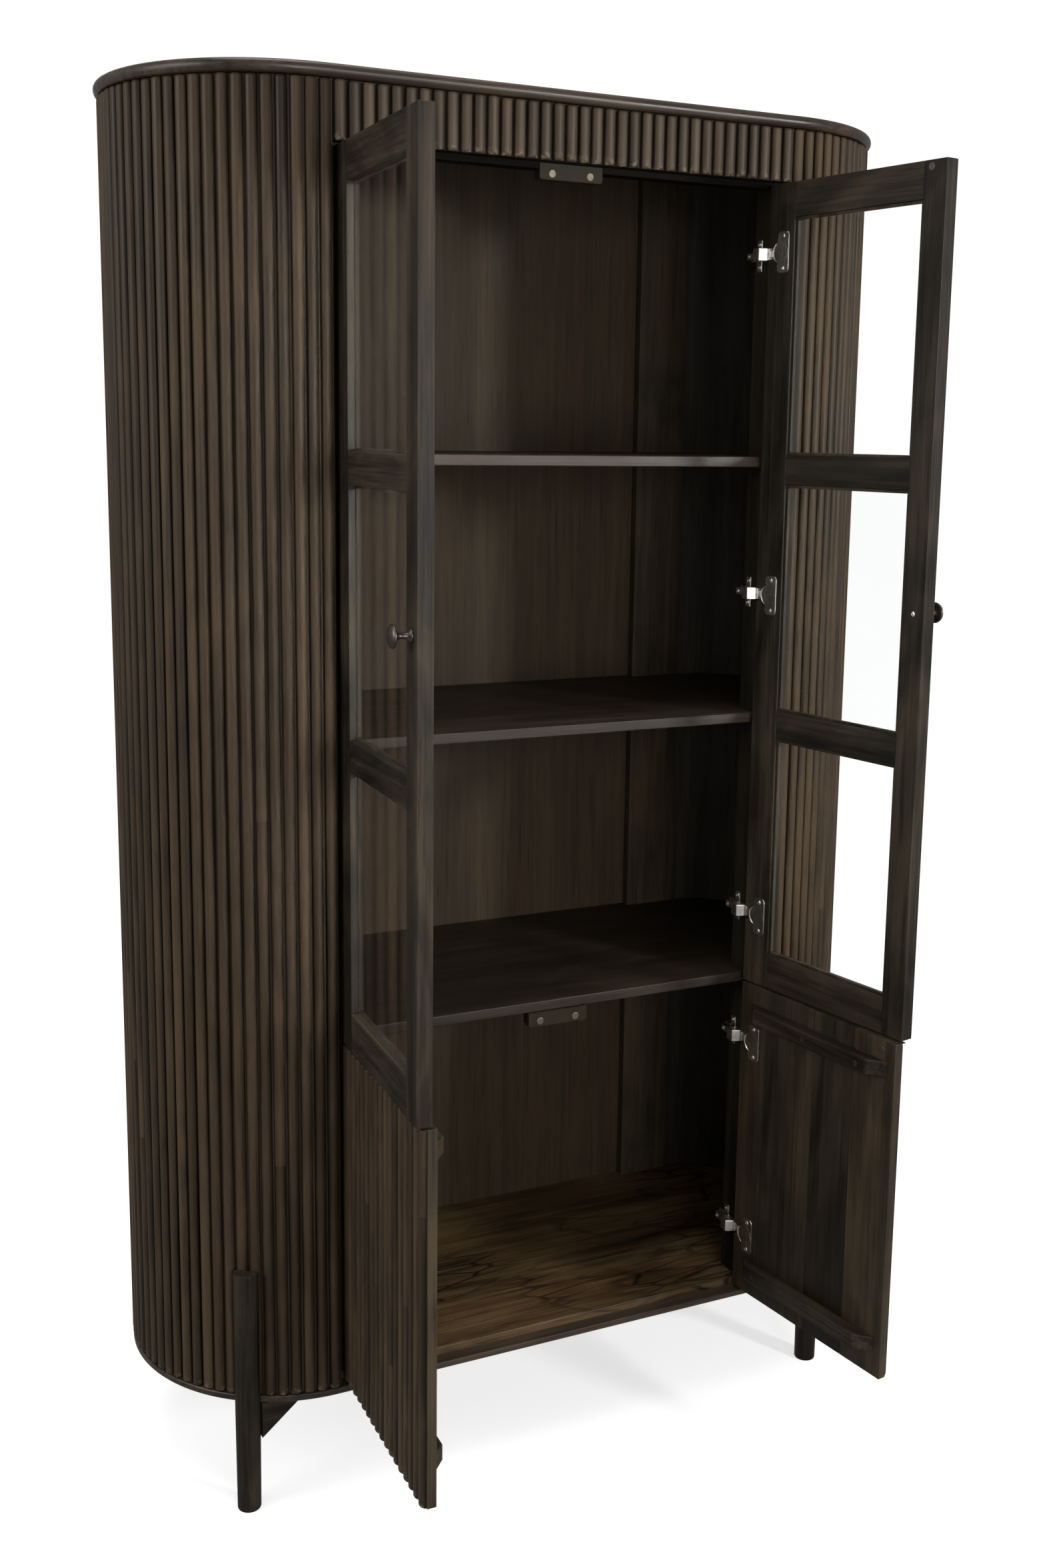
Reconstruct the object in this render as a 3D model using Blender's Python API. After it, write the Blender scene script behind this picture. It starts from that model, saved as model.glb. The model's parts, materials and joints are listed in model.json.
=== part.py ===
"""Curio cabinet: round-ended fluted case on four legs, with two glazed and two panelled doors.

Metres, +Z up, standing on z = 0. The doors stand open. X runs across the front, Y from front to back.
Every piece is first laid out in cabinet coordinates, where y = 0 is the crest of the front flutes and
the middle of the front is x = 0. The whole cabinet is then moved back so that its outer box, with the
doors open, is centred on the origin.
"""
import bpy
import bmesh
from math import asin, cos, pi, radians, sin, sqrt
from mathutils import Vector

# ---- fluted case -------------------------------------------------------------------------------
FLUTE_PITCH = 0.020          # from one half-round slat to the next
FLUTE_GAP = 0.0035           # flat ground left between two slats
FLUTE_DEPTH = 0.008          # how far a slat stands off its board
OPENING_FLUTES = 36          # slats across the frieze, which is as wide as the front opening
END_FLUTES = 40              # slats around each rounded end
BODY_DEPTH = 0.496           # crest to crest, front to back
BODY_HEIGHT = 1.890          # underside of the base to the top face
END_STRAIGHT = 0.006         # flat run between the opening and the rounded end
SHELL_BOARD = 0.016          # bent board behind the slats
TOP_THICK = 0.018
TOP_OVERHANG = 0.004
TOP_ROUND = 0.008            # rounding of the top's edge
BASE_THICK = 0.022
RIM_HEIGHT = 0.010           # part of the base's edge that shows below the slats
RIM_INSET = 0.001
FRIEZE_HEIGHT = 0.078        # fluted board above the doors
HEADER_DEPTH = 0.026         # rail behind the frieze
HEADER_DROP = 0.009          # how far the rail reaches below the frieze

# ---- inside ------------------------------------------------------------------------------------
POST_WIDTH = 0.030           # hinge posts, across
POST_DEPTH = 0.048
SHELF_RISES = (0.033, 0.041) # faces of the two upper shelves above the lower edge of the rail before them
SPLIT_SHELF_RISE = 0.012     # face of the lowest shelf above the lower doors
SHELF_THICK = 0.016
SHELF_FRONT = 0.028          # set-back of the shelves' front edge
STILE_THICK = 0.018          # boards at both sides of the back
STILE_LAP = 0.015            # how far a back stile shows inside the opening
BACK_THICK = 0.008
BACK_LAP = 0.040             # back panel beyond the opening, behind the stiles

# ---- legs --------------------------------------------------------------------------------------
LEG_DROP = 0.167             # floor to the underside of the base
LEG_RISE = 0.210             # how far a leg climbs the side of the case
LEG_RADIUS = 0.0185
FOOT_RADIUS = 0.0175
FOOT_TAPER = 0.150           # length of the taper above the floor
LEG_CHAMFER = 0.002
LEG_OUT = 0.0025             # leg centre beyond the flute crests
LEG_ANGLE = 31.2             # degrees round the end from straight ahead
BRACKET_LENGTH = 0.066
BRACKET_HEIGHT = 0.056
BRACKET_THICK = 0.018

# ---- doors -------------------------------------------------------------------------------------
DOOR_FLUTES = 17
DOOR_BOARD = 0.014           # board behind the slats of a lower door
LOWER_DOOR_HEIGHT = 0.532
HINGE_STILE = 0.0545
FREE_STILE = 0.040
TOP_RAIL = 0.051
MUNTIN = 0.0445
BOTTOM_RAIL = 0.0565
GLASS_THICK = 0.004
GLASS_SETBACK = 0.0095       # outer face of a door frame to the glass
GLASS_EDGE = 0.006           # glass held in the groove on each side
MEETING_GAP = 0.004          # between the two closed doors
SIDE_GAP = 0.018             # closed door to the end of the fluted side
HEAD_GAP = 0.004
DOOR_GAP = 0.003             # between upper and lower door, and under the lower one
BATTEN_DEPTH = 0.0225
BATTEN_HEIGHT = 0.024
BATTEN_HINGE_INSET = 0.026
BATTEN_FREE_INSET = 0.0125
BATTEN_TOP_DROP = 0.030      # top of the upper batten below the top of the lower door
BATTEN_FOOT_RISE = 0.039     # bottom of the lower batten above the foot of the door
KNOB_EDGE = 0.0206           # knob centre from the free edge
KNOB_RISE = 0.005            # above the middle of the upper door
KNOB_HEAD = 0.015            # radius
KNOB_LENGTH = 0.029
OPEN_UPPER_LEFT = 92.3       # degrees from closed
OPEN_LOWER_LEFT = 91.1
OPEN_UPPER_RIGHT = 100.4
OPEN_LOWER_RIGHT = 98.5

# ---- cup hinges and magnet catches -------------------------------------------------------------
PIVOT_EDGE = 0.004           # pivot from the door's hinge edge
PIVOT_DEPTH = 0.0155         # pivot behind the door's outer face
BARREL_RADIUS = 0.0035
BARREL_HALF = 0.005          # half height of the arm's barrel
EAR_HEIGHT = 0.003
CUP_EDGE = 0.027             # cup centre from the hinge edge
CUP_RADIUS = 0.0165
CUP_DEPTH = 0.0105
FLANGE_WIDTH = 0.024
FLANGE_LENGTH = 0.060
FLANGE_THICK = 0.0015
FLANGE_FAR = 0.045           # far edge of the flange from the hinge edge
ARM_WIDTH = 0.014
ARM_HALF = 0.008
ARM_FRONT = 0.031
ARM_BACK = 0.080
PLATE_FRONT = 0.042
PLATE_BACK = 0.070
PLATE_HALF = 0.024
PLATE_THICK = 0.002
UPPER_HINGE_DROP = 0.100     # top hinge below the top of its door
UPPER_HINGE_RISE = 0.113     # bottom hinge above the foot of its door
LOWER_HINGE_DROP = 0.097
LOWER_HINGE_RISE = 0.101
CATCH_HALF = 0.050
CATCH_HEIGHT = 0.023
CATCH_DEPTH = 0.018
CATCH_CORNER = 0.004
MAGNET_OFFSET = 0.030        # magnet from the middle of the front
MAGNET_RADIUS = 0.006
MAGNET_PROUD = 0.0008

FIT = 0.0004                 # clearance between touching pieces
TRIM = 0.0005                # clearance around shelves, base and back pieces

# ---- derived places ----------------------------------------------------------------------------
OPENING_HALF = OPENING_FLUTES * FLUTE_PITCH / 2
END_RADIUS = BODY_DEPTH / 2
END_CENTRE_X = OPENING_HALF + END_STRAIGHT
END_CENTRE_Y = END_RADIUS
SHELL_THICK = FLUTE_DEPTH + SHELL_BOARD
DOOR_WIDTH = OPENING_HALF - SIDE_GAP - MEETING_GAP / 2
DOOR_THICK = DOOR_BOARD + FLUTE_DEPTH
HINGE_EDGE = DOOR_WIDTH + MEETING_GAP / 2
PIVOT_X = HINGE_EDGE - PIVOT_EDGE
PIVOT_Y = PIVOT_DEPTH
POST_FRONT = SHELL_THICK + 2 * FIT
BASE_Z = LEG_DROP
TOP_Z = LEG_DROP + BODY_HEIGHT
CASE_TOP = TOP_Z - TOP_THICK - FIT
FLOOR_Z = BASE_Z + BASE_THICK
FRIEZE_Z = TOP_Z - TOP_THICK - FRIEZE_HEIGHT
LOWER_DOOR_Z = BASE_Z + RIM_HEIGHT + DOOR_GAP
LOWER_DOOR_TOP = LOWER_DOOR_Z + LOWER_DOOR_HEIGHT
UPPER_DOOR_Z = LOWER_DOOR_TOP + DOOR_GAP
UPPER_DOOR_TOP = FRIEZE_Z - HEAD_GAP
LITE_HEIGHT = (UPPER_DOOR_TOP - UPPER_DOOR_Z - TOP_RAIL - BOTTOM_RAIL - 2 * MUNTIN) / 3
FIRST_RAIL_Z = UPPER_DOOR_Z + BOTTOM_RAIL + LITE_HEIGHT
SHELF_TOPS = (                # lowest first
    LOWER_DOOR_TOP + SPLIT_SHELF_RISE,
    FIRST_RAIL_Z + SHELF_RISES[0],
    FIRST_RAIL_Z + MUNTIN + LITE_HEIGHT + SHELF_RISES[1],
)
HIGH_HINGE = UPPER_DOOR_TOP - UPPER_HINGE_DROP
LOW_HINGE = UPPER_DOOR_Z + UPPER_HINGE_RISE
UPPER_HINGES = (HIGH_HINGE, (HIGH_HINGE + LOW_HINGE) / 2, LOW_HINGE)
LOWER_HINGES = (LOWER_DOOR_TOP - LOWER_HINGE_DROP, LOWER_DOOR_Z + LOWER_HINGE_RISE)
BACK_REAR = BODY_DEPTH - SHELL_THICK - 0.0045
BACK_FRONT = BACK_REAR - BACK_THICK
STILE_REAR = BACK_FRONT - FIT
STILE_FRONT = STILE_REAR - STILE_THICK
ANGLES = {
    "upper_left": OPEN_UPPER_LEFT,
    "lower_left": OPEN_LOWER_LEFT,
    "upper_right": OPEN_UPPER_RIGHT,
    "lower_right": OPEN_LOWER_RIGHT,
}


def opened_front():
    """Lowest y that the free edge of an open door reaches, in cabinet coordinates."""
    reach = DOOR_WIDTH - PIVOT_EDGE
    lows = []
    for angle in ANGLES.values():
        turn = radians(angle)
        for depth in (-PIVOT_DEPTH, DOOR_THICK - PIVOT_DEPTH):
            lows.append(PIVOT_Y - reach * sin(turn) + depth * cos(turn))
    return min(lows)


ORIGIN_Y = (opened_front() + BODY_DEPTH) / 2


# ---- small helpers -----------------------------------------------------------------------------
def clear_scene():
    for obj in list(bpy.data.objects):
        bpy.data.objects.remove(obj, do_unlink=True)


def material(name, colour, roughness, metallic=0.0, alpha=1.0):
    mat = bpy.data.materials.get(name)
    if mat is None:
        mat = bpy.data.materials.new(name)
        mat.use_nodes = True
        shader = mat.node_tree.nodes["Principled BSDF"]
        shader.inputs["Base Color"].default_value = (*colour, 1.0)
        shader.inputs["Roughness"].default_value = roughness
        shader.inputs["Metallic"].default_value = metallic
        shader.inputs["Alpha"].default_value = alpha
        mat.diffuse_color = (*colour, alpha)
    return mat


def slat_wood():
    return material("slat_wood", (0.055, 0.042, 0.034), 0.45)


def board_wood():
    return material("board_wood", (0.048, 0.036, 0.029), 0.5)


def inside_wood():
    return material("inside_wood", (0.060, 0.045, 0.034), 0.6)


def floor_wood():
    return material("floor_wood", (0.085, 0.060, 0.040), 0.5)


def clear_glass():
    return material("clear_glass", (0.85, 0.9, 0.88), 0.03, alpha=0.25)


def bright_metal():
    return material("bright_metal", (0.72, 0.70, 0.66), 0.25, 1.0)


def dark_metal():
    return material("dark_metal", (0.035, 0.030, 0.028), 0.35, 1.0)


def catch_brown():
    return material("catch_brown", (0.075, 0.055, 0.042), 0.5)


def finish(name, bm, mat, parent):
    """Turn a bmesh into a named object in cabinet coordinates, hung on its body's empty."""
    bmesh.ops.recalc_face_normals(bm, faces=bm.faces)
    mesh = bpy.data.meshes.new(name)
    bm.to_mesh(mesh)
    bm.free()
    mesh.materials.append(mat)
    obj = bpy.data.objects.new(name, mesh)
    bpy.context.scene.collection.objects.link(obj)
    obj.parent = parent
    obj.location = Vector(parent["offset"])
    return obj


def smooth(obj, degrees=30.0):
    obj.data.shade_smooth()
    obj.data.set_sharp_from_angle(angle=radians(degrees))
    return obj


def add_prism(bm, outline, z0, z1):
    """Closed upright prism over an (x, y) outline."""
    low = [bm.verts.new((x, y, z0)) for x, y in outline]
    high = [bm.verts.new((x, y, z1)) for x, y in outline]
    count = len(outline)
    bm.faces.new(low)
    bm.faces.new(high)
    for i in range(count):
        j = (i + 1) % count
        bm.faces.new((low[i], low[j], high[j], high[i]))


def prism(name, outline, z0, z1, mat, parent):
    bm = bmesh.new()
    add_prism(bm, outline, z0, z1)
    return finish(name, bm, mat, parent)


def rectangle(x0, x1, y0, y1):
    return [(x0, y0), (x1, y0), (x1, y1), (x0, y1)]


def add_rings(bm, rings):
    """Closed solid through equally long rings of points, capped at both ends."""
    loops = [[bm.verts.new(p) for p in ring] for ring in rings]
    count = len(loops[0])
    bm.faces.new(loops[0])
    bm.faces.new(loops[-1])
    for a, b in zip(loops, loops[1:]):
        for i in range(count):
            j = (i + 1) % count
            bm.faces.new((a[i], a[j], b[j], b[i]))


def boolean(obj, other, operation):
    """Join or cut with a helper body, and leave the result in the mesh."""
    mod = obj.modifiers.new(operation.lower(), "BOOLEAN")
    mod.operation = operation
    mod.solver = "EXACT"
    mod.object = other
    bpy.context.view_layer.update()
    depsgraph = bpy.context.evaluated_depsgraph_get()
    mesh = bpy.data.meshes.new_from_object(obj.evaluated_get(depsgraph), depsgraph=depsgraph)
    obj.modifiers.clear()
    old = obj.data
    obj.data = mesh
    bpy.data.meshes.remove(old)
    bpy.data.objects.remove(other, do_unlink=True)
    return obj


def helper(build, parent):
    """A short-lived body that joins or cuts another one."""
    bm = bmesh.new()
    build(bm)
    return finish("helper", bm, board_wood(), parent)


def stadium(offset, steps=28):
    """Outline with straight front and back and half-round ends, grown by offset."""
    radius = END_RADIUS + offset
    points = []
    for side in (1, -1):
        for i in range(steps + 1):
            turn = pi * i / steps
            points.append((side * (END_CENTRE_X + radius * sin(turn)),
                           END_CENTRE_Y - side * radius * cos(turn)))
    return points


def inner_reach(y):
    """How far out the inner wall of a rounded end lies at depth y."""
    radius = END_RADIUS - SHELL_THICK
    return END_CENTRE_X + sqrt(radius * radius - (y - END_CENTRE_Y) ** 2)


def flute_bumps(count, pitch, steps=6):
    """Distance along a board and height above it, for a row of half-round slats."""
    half = (pitch - FLUTE_GAP) / 2
    points = []
    for k in range(count):
        middle = (k + 0.5) * pitch
        for i in range(steps + 1):
            turn = pi * i / steps
            points.append((middle - half * cos(turn), FLUTE_DEPTH * sin(turn)))
    return points


# ---- bodies ------------------------------------------------------------------------------------
def body_empty(name, location, turn, offset):
    empty = bpy.data.objects.new(name, None)
    bpy.context.scene.collection.objects.link(empty)
    empty.location = location
    empty.rotation_euler = (0.0, 0.0, turn)
    empty["offset"] = offset
    return empty


def door_empty(name, side):
    """Empty on the hinge axis, turned to the open position; side is -1 for left and 1 for right."""
    turn = side * radians(ANGLES[name])
    place = (side * PIVOT_X, PIVOT_Y - ORIGIN_Y, 0.0)
    return body_empty(name + "_axis", place, turn, (-side * PIVOT_X, -PIVOT_Y, 0.0))


# ---- case --------------------------------------------------------------------------------------
def top_panel(root):
    steps = 4
    middle = TOP_OVERHANG - TOP_ROUND
    rings = []
    for i in range(steps + 1):
        turn = pi / 2 * i / steps
        z = TOP_Z - TOP_THICK + TOP_ROUND * (1 - cos(turn))
        rings.append([(x, y, z) for x, y in stadium(middle + TOP_ROUND * sin(turn))])
    for i in range(steps + 1):
        turn = pi / 2 * i / steps
        z = TOP_Z - TOP_ROUND * (1 - sin(turn))
        rings.append([(x, y, z) for x, y in stadium(middle + TOP_ROUND * cos(turn))])
    bm = bmesh.new()
    add_rings(bm, rings)
    smooth(finish("top_panel", bm, board_wood(), root))


def base_panel(root):
    bm = bmesh.new()
    step = BASE_Z + RIM_HEIGHT
    rim = stadium(-RIM_INSET)
    plug = stadium(-SHELL_THICK - TRIM)
    rings = [(rim, BASE_Z), (rim, step), (plug, step), (plug, FLOOR_Z)]
    add_rings(bm, [[(x, y, z) for x, y in outline] for outline, z in rings])
    smooth(finish("base_panel", bm, floor_wood(), root))


def end_shell(root, side):
    """Bent board with a row of slats, from the front opening round to the back."""
    inside = END_RADIUS - SHELL_THICK
    board = END_RADIUS - FLUTE_DEPTH
    arc = pi * END_RADIUS
    length = arc + 2 * END_STRAIGHT
    outline = []
    for s, h in flute_bumps(END_FLUTES, length / END_FLUTES):
        run = s - END_STRAIGHT
        radius = board + h
        if run < 0:
            outline.append((END_CENTRE_X + run, END_CENTRE_Y - radius))
        elif run > arc:
            outline.append((END_CENTRE_X - (run - arc), END_CENTRE_Y + radius))
        else:
            turn = run / END_RADIUS
            outline.append((END_CENTRE_X + radius * sin(turn), END_CENTRE_Y - radius * cos(turn)))
    outline.insert(0, (OPENING_HALF, END_CENTRE_Y - board))
    outline.append((OPENING_HALF, END_CENTRE_Y + board))
    outline.append((OPENING_HALF, END_CENTRE_Y + inside))
    steps = 32
    for i in range(steps + 1):
        turn = pi - pi * i / steps
        outline.append((END_CENTRE_X + inside * sin(turn), END_CENTRE_Y - inside * cos(turn)))
    outline.append((OPENING_HALF, END_CENTRE_Y - inside))
    outline = [(side * x, y) for x, y in outline]
    name = "left_end_shell" if side < 0 else "right_end_shell"
    smooth(prism(name, outline, BASE_Z + RIM_HEIGHT + FIT, CASE_TOP, slat_wood(), root), 40.0)


def frieze_panel(root):
    bumps = flute_bumps(OPENING_FLUTES, FLUTE_PITCH)
    outline = [(s - OPENING_HALF, FLUTE_DEPTH - h) for s, h in bumps]
    edge = OPENING_HALF - FIT
    outline = [(-edge, FLUTE_DEPTH)] + outline + [(edge, FLUTE_DEPTH)]
    outline += [(edge, SHELL_THICK), (-edge, SHELL_THICK)]
    smooth(prism("frieze_panel", outline, FRIEZE_Z, CASE_TOP, slat_wood(), root), 40.0)


def header_rail(root):
    """Rail behind the frieze, cut away at the middle for the upper catch block."""
    half = HINGE_EDGE - FIT
    cut = CATCH_HALF + FIT
    low = FRIEZE_Z - HEADER_DROP
    profile = [(-half, low), (-cut, low), (-cut, FRIEZE_Z), (cut, FRIEZE_Z), (cut, low), (half, low),
               (half, CASE_TOP), (-half, CASE_TOP)]
    bm = bmesh.new()
    add_rings(bm, [[(x, y, z) for x, z in profile] for y in (POST_FRONT, POST_FRONT + HEADER_DEPTH)])
    finish("header_rail", bm, inside_wood(), root)


def hinge_post(root, side):
    outline = rectangle(HINGE_EDGE, HINGE_EDGE + POST_WIDTH, POST_FRONT, POST_FRONT + POST_DEPTH)
    name = "left_hinge_post" if side < 0 else "right_hinge_post"
    prism(name, [(side * x, y) for x, y in outline], FLOOR_Z + FIT, CASE_TOP, inside_wood(), root)


def back_stile(root, side):
    outer = inner_reach(STILE_REAR) - 4 * FIT
    outline = rectangle(OPENING_HALF - STILE_LAP, outer, STILE_FRONT, STILE_REAR)
    name = "left_back_stile" if side < 0 else "right_back_stile"
    prism(name, [(side * x, y) for x, y in outline], FLOOR_Z + FIT, CASE_TOP, inside_wood(), root)


def back_panel(root):
    half = min(OPENING_HALF + BACK_LAP, inner_reach(BACK_REAR) - 4 * FIT)
    outline = rectangle(-half, half, BACK_FRONT, BACK_REAR)
    prism("back_panel", outline, FLOOR_Z + FIT, CASE_TOP, inside_wood(), root)


def shelf_outline():
    """Half of a shelf's plan, from the middle of the front round to the middle of the back."""
    post_inner = HINGE_EDGE - TRIM
    post_back = POST_FRONT + POST_DEPTH + TRIM
    stile_inner = OPENING_HALF - STILE_LAP - TRIM
    stile_front = STILE_FRONT - TRIM
    radius = END_RADIUS - SHELL_THICK - TRIM
    half = [(post_inner, SHELF_FRONT), (post_inner, post_back)]
    start = (END_CENTRE_Y - post_back) / radius
    finish_at = (stile_front - END_CENTRE_Y) / radius
    steps = 20
    for i in range(steps + 1):
        turn = -asin(start) + (asin(finish_at) + asin(start)) * i / steps
        half.append((END_CENTRE_X + radius * cos(turn), END_CENTRE_Y + radius * sin(turn)))
    half += [(stile_inner, stile_front), (stile_inner, BACK_FRONT - TRIM)]
    return half


def shelf(root, number, top):
    half = shelf_outline()
    outline = half + [(-x, y) for x, y in reversed(half)]
    prism("shelf_%d" % number, outline, top - SHELF_THICK, top, inside_wood(), root)


# ---- legs --------------------------------------------------------------------------------------
def leg_centre(side, end):
    """Centre of a leg; end is -1 at the front and 1 at the back."""
    reach = END_RADIUS + LEG_OUT
    turn = radians(LEG_ANGLE)
    return side * (END_CENTRE_X + reach * sin(turn)), END_CENTRE_Y + end * reach * cos(turn)


def leg(root, side, end, name):
    x0, y0 = leg_centre(side, end)
    top = LEG_DROP + LEG_RISE
    profile = [(FOOT_RADIUS - LEG_CHAMFER, 0.0), (FOOT_RADIUS, LEG_CHAMFER), (LEG_RADIUS, FOOT_TAPER),
               (LEG_RADIUS, top - LEG_CHAMFER), (LEG_RADIUS - LEG_CHAMFER, top)]
    steps = 28
    rings = []
    for radius, z in profile:
        rings.append([(x0 + radius * cos(2 * pi * i / steps), y0 + radius * sin(2 * pi * i / steps), z)
                      for i in range(steps)])
    bm = bmesh.new()
    add_rings(bm, rings)
    obj = finish(name, bm, board_wood(), root)
    case = helper(lambda b: add_prism(b, stadium(FIT, 96), BASE_Z - FIT, TOP_Z), root)
    smooth(boolean(obj, case, "DIFFERENCE"))


def bracket(root, side, end, name):
    """Triangular brace between a leg and the underside of the base."""
    x0, y0 = leg_centre(side, end)
    along = Vector((-side, 0.0, 0.0))
    across = Vector((0.0, BRACKET_THICK / 2, 0.0))
    start = Vector((x0, y0, BASE_Z - FIT)) + along * (LEG_RADIUS + FIT)
    corners = [start, start + along * BRACKET_LENGTH, start - Vector((0.0, 0.0, BRACKET_HEIGHT))]
    bm = bmesh.new()
    add_rings(bm, [[c - across for c in corners], [c + across for c in corners]])
    finish(name, bm, board_wood(), root)


# ---- doors -------------------------------------------------------------------------------------
def door_x(side, from_hinge_edge):
    return side * (HINGE_EDGE - from_hinge_edge)


def hinge_notches(door, side, heights):
    """Pockets at the hinge edge that give the arm's barrel room to turn."""
    room = BARREL_RADIUS + 0.001
    for z in heights:
        inner = door_x(side, PIVOT_EDGE + room)
        outer = door_x(side, -0.002)
        tall = BARREL_HALF + EAR_HEIGHT + 0.002
        outline = rectangle(min(inner, outer), max(inner, outer), PIVOT_DEPTH - room, DOOR_THICK + 0.002)
        boolean(door, helper(lambda b: add_prism(b, outline, z - tall, z + tall), door.parent), "DIFFERENCE")


def cup_bores(door, side, heights):
    """Round pockets for the hinge cups, with a channel to the hinge edge's pocket."""
    for z in heights:
        x = door_x(side, CUP_EDGE)
        radius = CUP_RADIUS + FIT
        floor = DOOR_THICK - CUP_DEPTH - FIT
        cutter = helper(lambda b: add_disc(b, (x, z), radius, floor, DOOR_THICK + 0.002, 24), door.parent)
        boolean(door, cutter, "DIFFERENCE")
        ends = sorted((x, door_x(side, PIVOT_EDGE)))
        tall = BARREL_HALF + EAR_HEIGHT + 2 * FIT
        outline = rectangle(ends[0], ends[1], PIVOT_DEPTH - BARREL_RADIUS - FIT, DOOR_THICK + 0.002)
        boolean(door, helper(lambda b: add_prism(b, outline, z - tall, z + tall), door.parent), "DIFFERENCE")


def add_disc(bm, centre, radius, y0, y1, steps=20):
    """Round solid with its axis along Y, at a centre given as (x, z)."""
    cx, cz = centre
    rings = []
    for y in (y0, y1):
        rings.append([(cx + radius * cos(2 * pi * i / steps), y, cz + radius * sin(2 * pi * i / steps))
                      for i in range(steps)])
    add_rings(bm, rings)


def lite_heights():
    """Bottom and top of the three panes, from the lowest up."""
    bottom = UPPER_DOOR_Z + BOTTOM_RAIL
    step = LITE_HEIGHT + MUNTIN
    return [(bottom + k * step, bottom + k * step + LITE_HEIGHT) for k in range(3)]


def upper_door(body, side, name):
    outer = sorted((door_x(side, 0.0), door_x(side, DOOR_WIDTH)))
    pane = sorted((door_x(side, HINGE_STILE), door_x(side, DOOR_WIDTH - FREE_STILE)))
    frame = prism(name + "_frame", rectangle(outer[0], outer[1], 0.0, DOOR_THICK),
                  UPPER_DOOR_Z, UPPER_DOOR_TOP, board_wood(), body)
    for k, (low, high) in enumerate(lite_heights()):
        hole = rectangle(pane[0], pane[1], -0.01, DOOR_THICK + 0.01)
        boolean(frame, helper(lambda b: add_prism(b, hole, low, high), body), "DIFFERENCE")
        groove_front = GLASS_SETBACK - FIT
        groove_back = GLASS_SETBACK + GLASS_THICK + FIT
        edge = GLASS_EDGE + FIT
        groove = rectangle(pane[0] - edge, pane[1] + edge, groove_front, groove_back)
        boolean(frame, helper(lambda b: add_prism(b, groove, low - edge, high + edge), body), "DIFFERENCE")
        glass = rectangle(pane[0] - GLASS_EDGE, pane[1] + GLASS_EDGE, GLASS_SETBACK,
                          GLASS_SETBACK + GLASS_THICK)
        prism("%s_glass_%d" % (name, k + 1), glass, low - GLASS_EDGE, high + GLASS_EDGE, clear_glass(), body)
    cup_bores(frame, side, UPPER_HINGES)
    hinge_notches(frame, side, UPPER_HINGES)
    knob(body, side, name + "_knob")


def lower_door(body, side, name):
    pitch = DOOR_WIDTH / DOOR_FLUTES
    outline = [(0.0, FLUTE_DEPTH)]
    outline += [(s, FLUTE_DEPTH - h) for s, h in flute_bumps(DOOR_FLUTES, pitch)]
    outline += [(DOOR_WIDTH, FLUTE_DEPTH), (DOOR_WIDTH, DOOR_THICK), (0.0, DOOR_THICK)]
    outline = [(door_x(side, s), y) for s, y in outline]
    panel = smooth(prism(name + "_panel", outline, LOWER_DOOR_Z, LOWER_DOOR_TOP, slat_wood(), body), 40.0)
    cup_bores(panel, side, LOWER_HINGES)
    hinge_notches(panel, side, LOWER_HINGES)
    smooth(panel, 40.0)
    batten(body, side, name + "_top_batten", LOWER_DOOR_TOP - BATTEN_TOP_DROP - BATTEN_HEIGHT)
    batten(body, side, name + "_foot_batten", LOWER_DOOR_Z + BATTEN_FOOT_RISE)


def batten(body, side, name, z):
    """Bar across the back of a lower door, with sloping ends."""
    near = DOOR_THICK + FIT
    far = near + BATTEN_DEPTH
    start = BATTEN_HINGE_INSET
    end = DOOR_WIDTH - BATTEN_FREE_INSET
    outline = [(start, near), (start + BATTEN_DEPTH, far), (end - BATTEN_DEPTH, far), (end, near)]
    prism(name, [(door_x(side, s), y) for s, y in outline], z, z + BATTEN_HEIGHT, board_wood(), body)


def knob(body, side, name):
    """Turned mushroom knob: rose, neck and domed head along -Y."""
    x = door_x(side, DOOR_WIDTH - KNOB_EDGE)
    z = (UPPER_DOOR_Z + UPPER_DOOR_TOP) / 2 + KNOB_RISE
    profile = [(0.0075, 0.0), (0.0070, 0.003), (0.0038, 0.0055), (0.0036, 0.016), (0.0065, 0.0195),
               (0.0125, 0.0215), (KNOB_HEAD, 0.0235), (0.0135, 0.0265), (0.0075, KNOB_LENGTH)]
    steps = 24
    rings = []
    for radius, out in profile:
        rings.append([(x + radius * cos(2 * pi * i / steps), -FIT - out, z + radius * sin(2 * pi * i / steps))
                      for i in range(steps)])
    bm = bmesh.new()
    add_rings(bm, rings)
    smooth(finish(name, bm, dark_metal(), body), 50.0)


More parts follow.
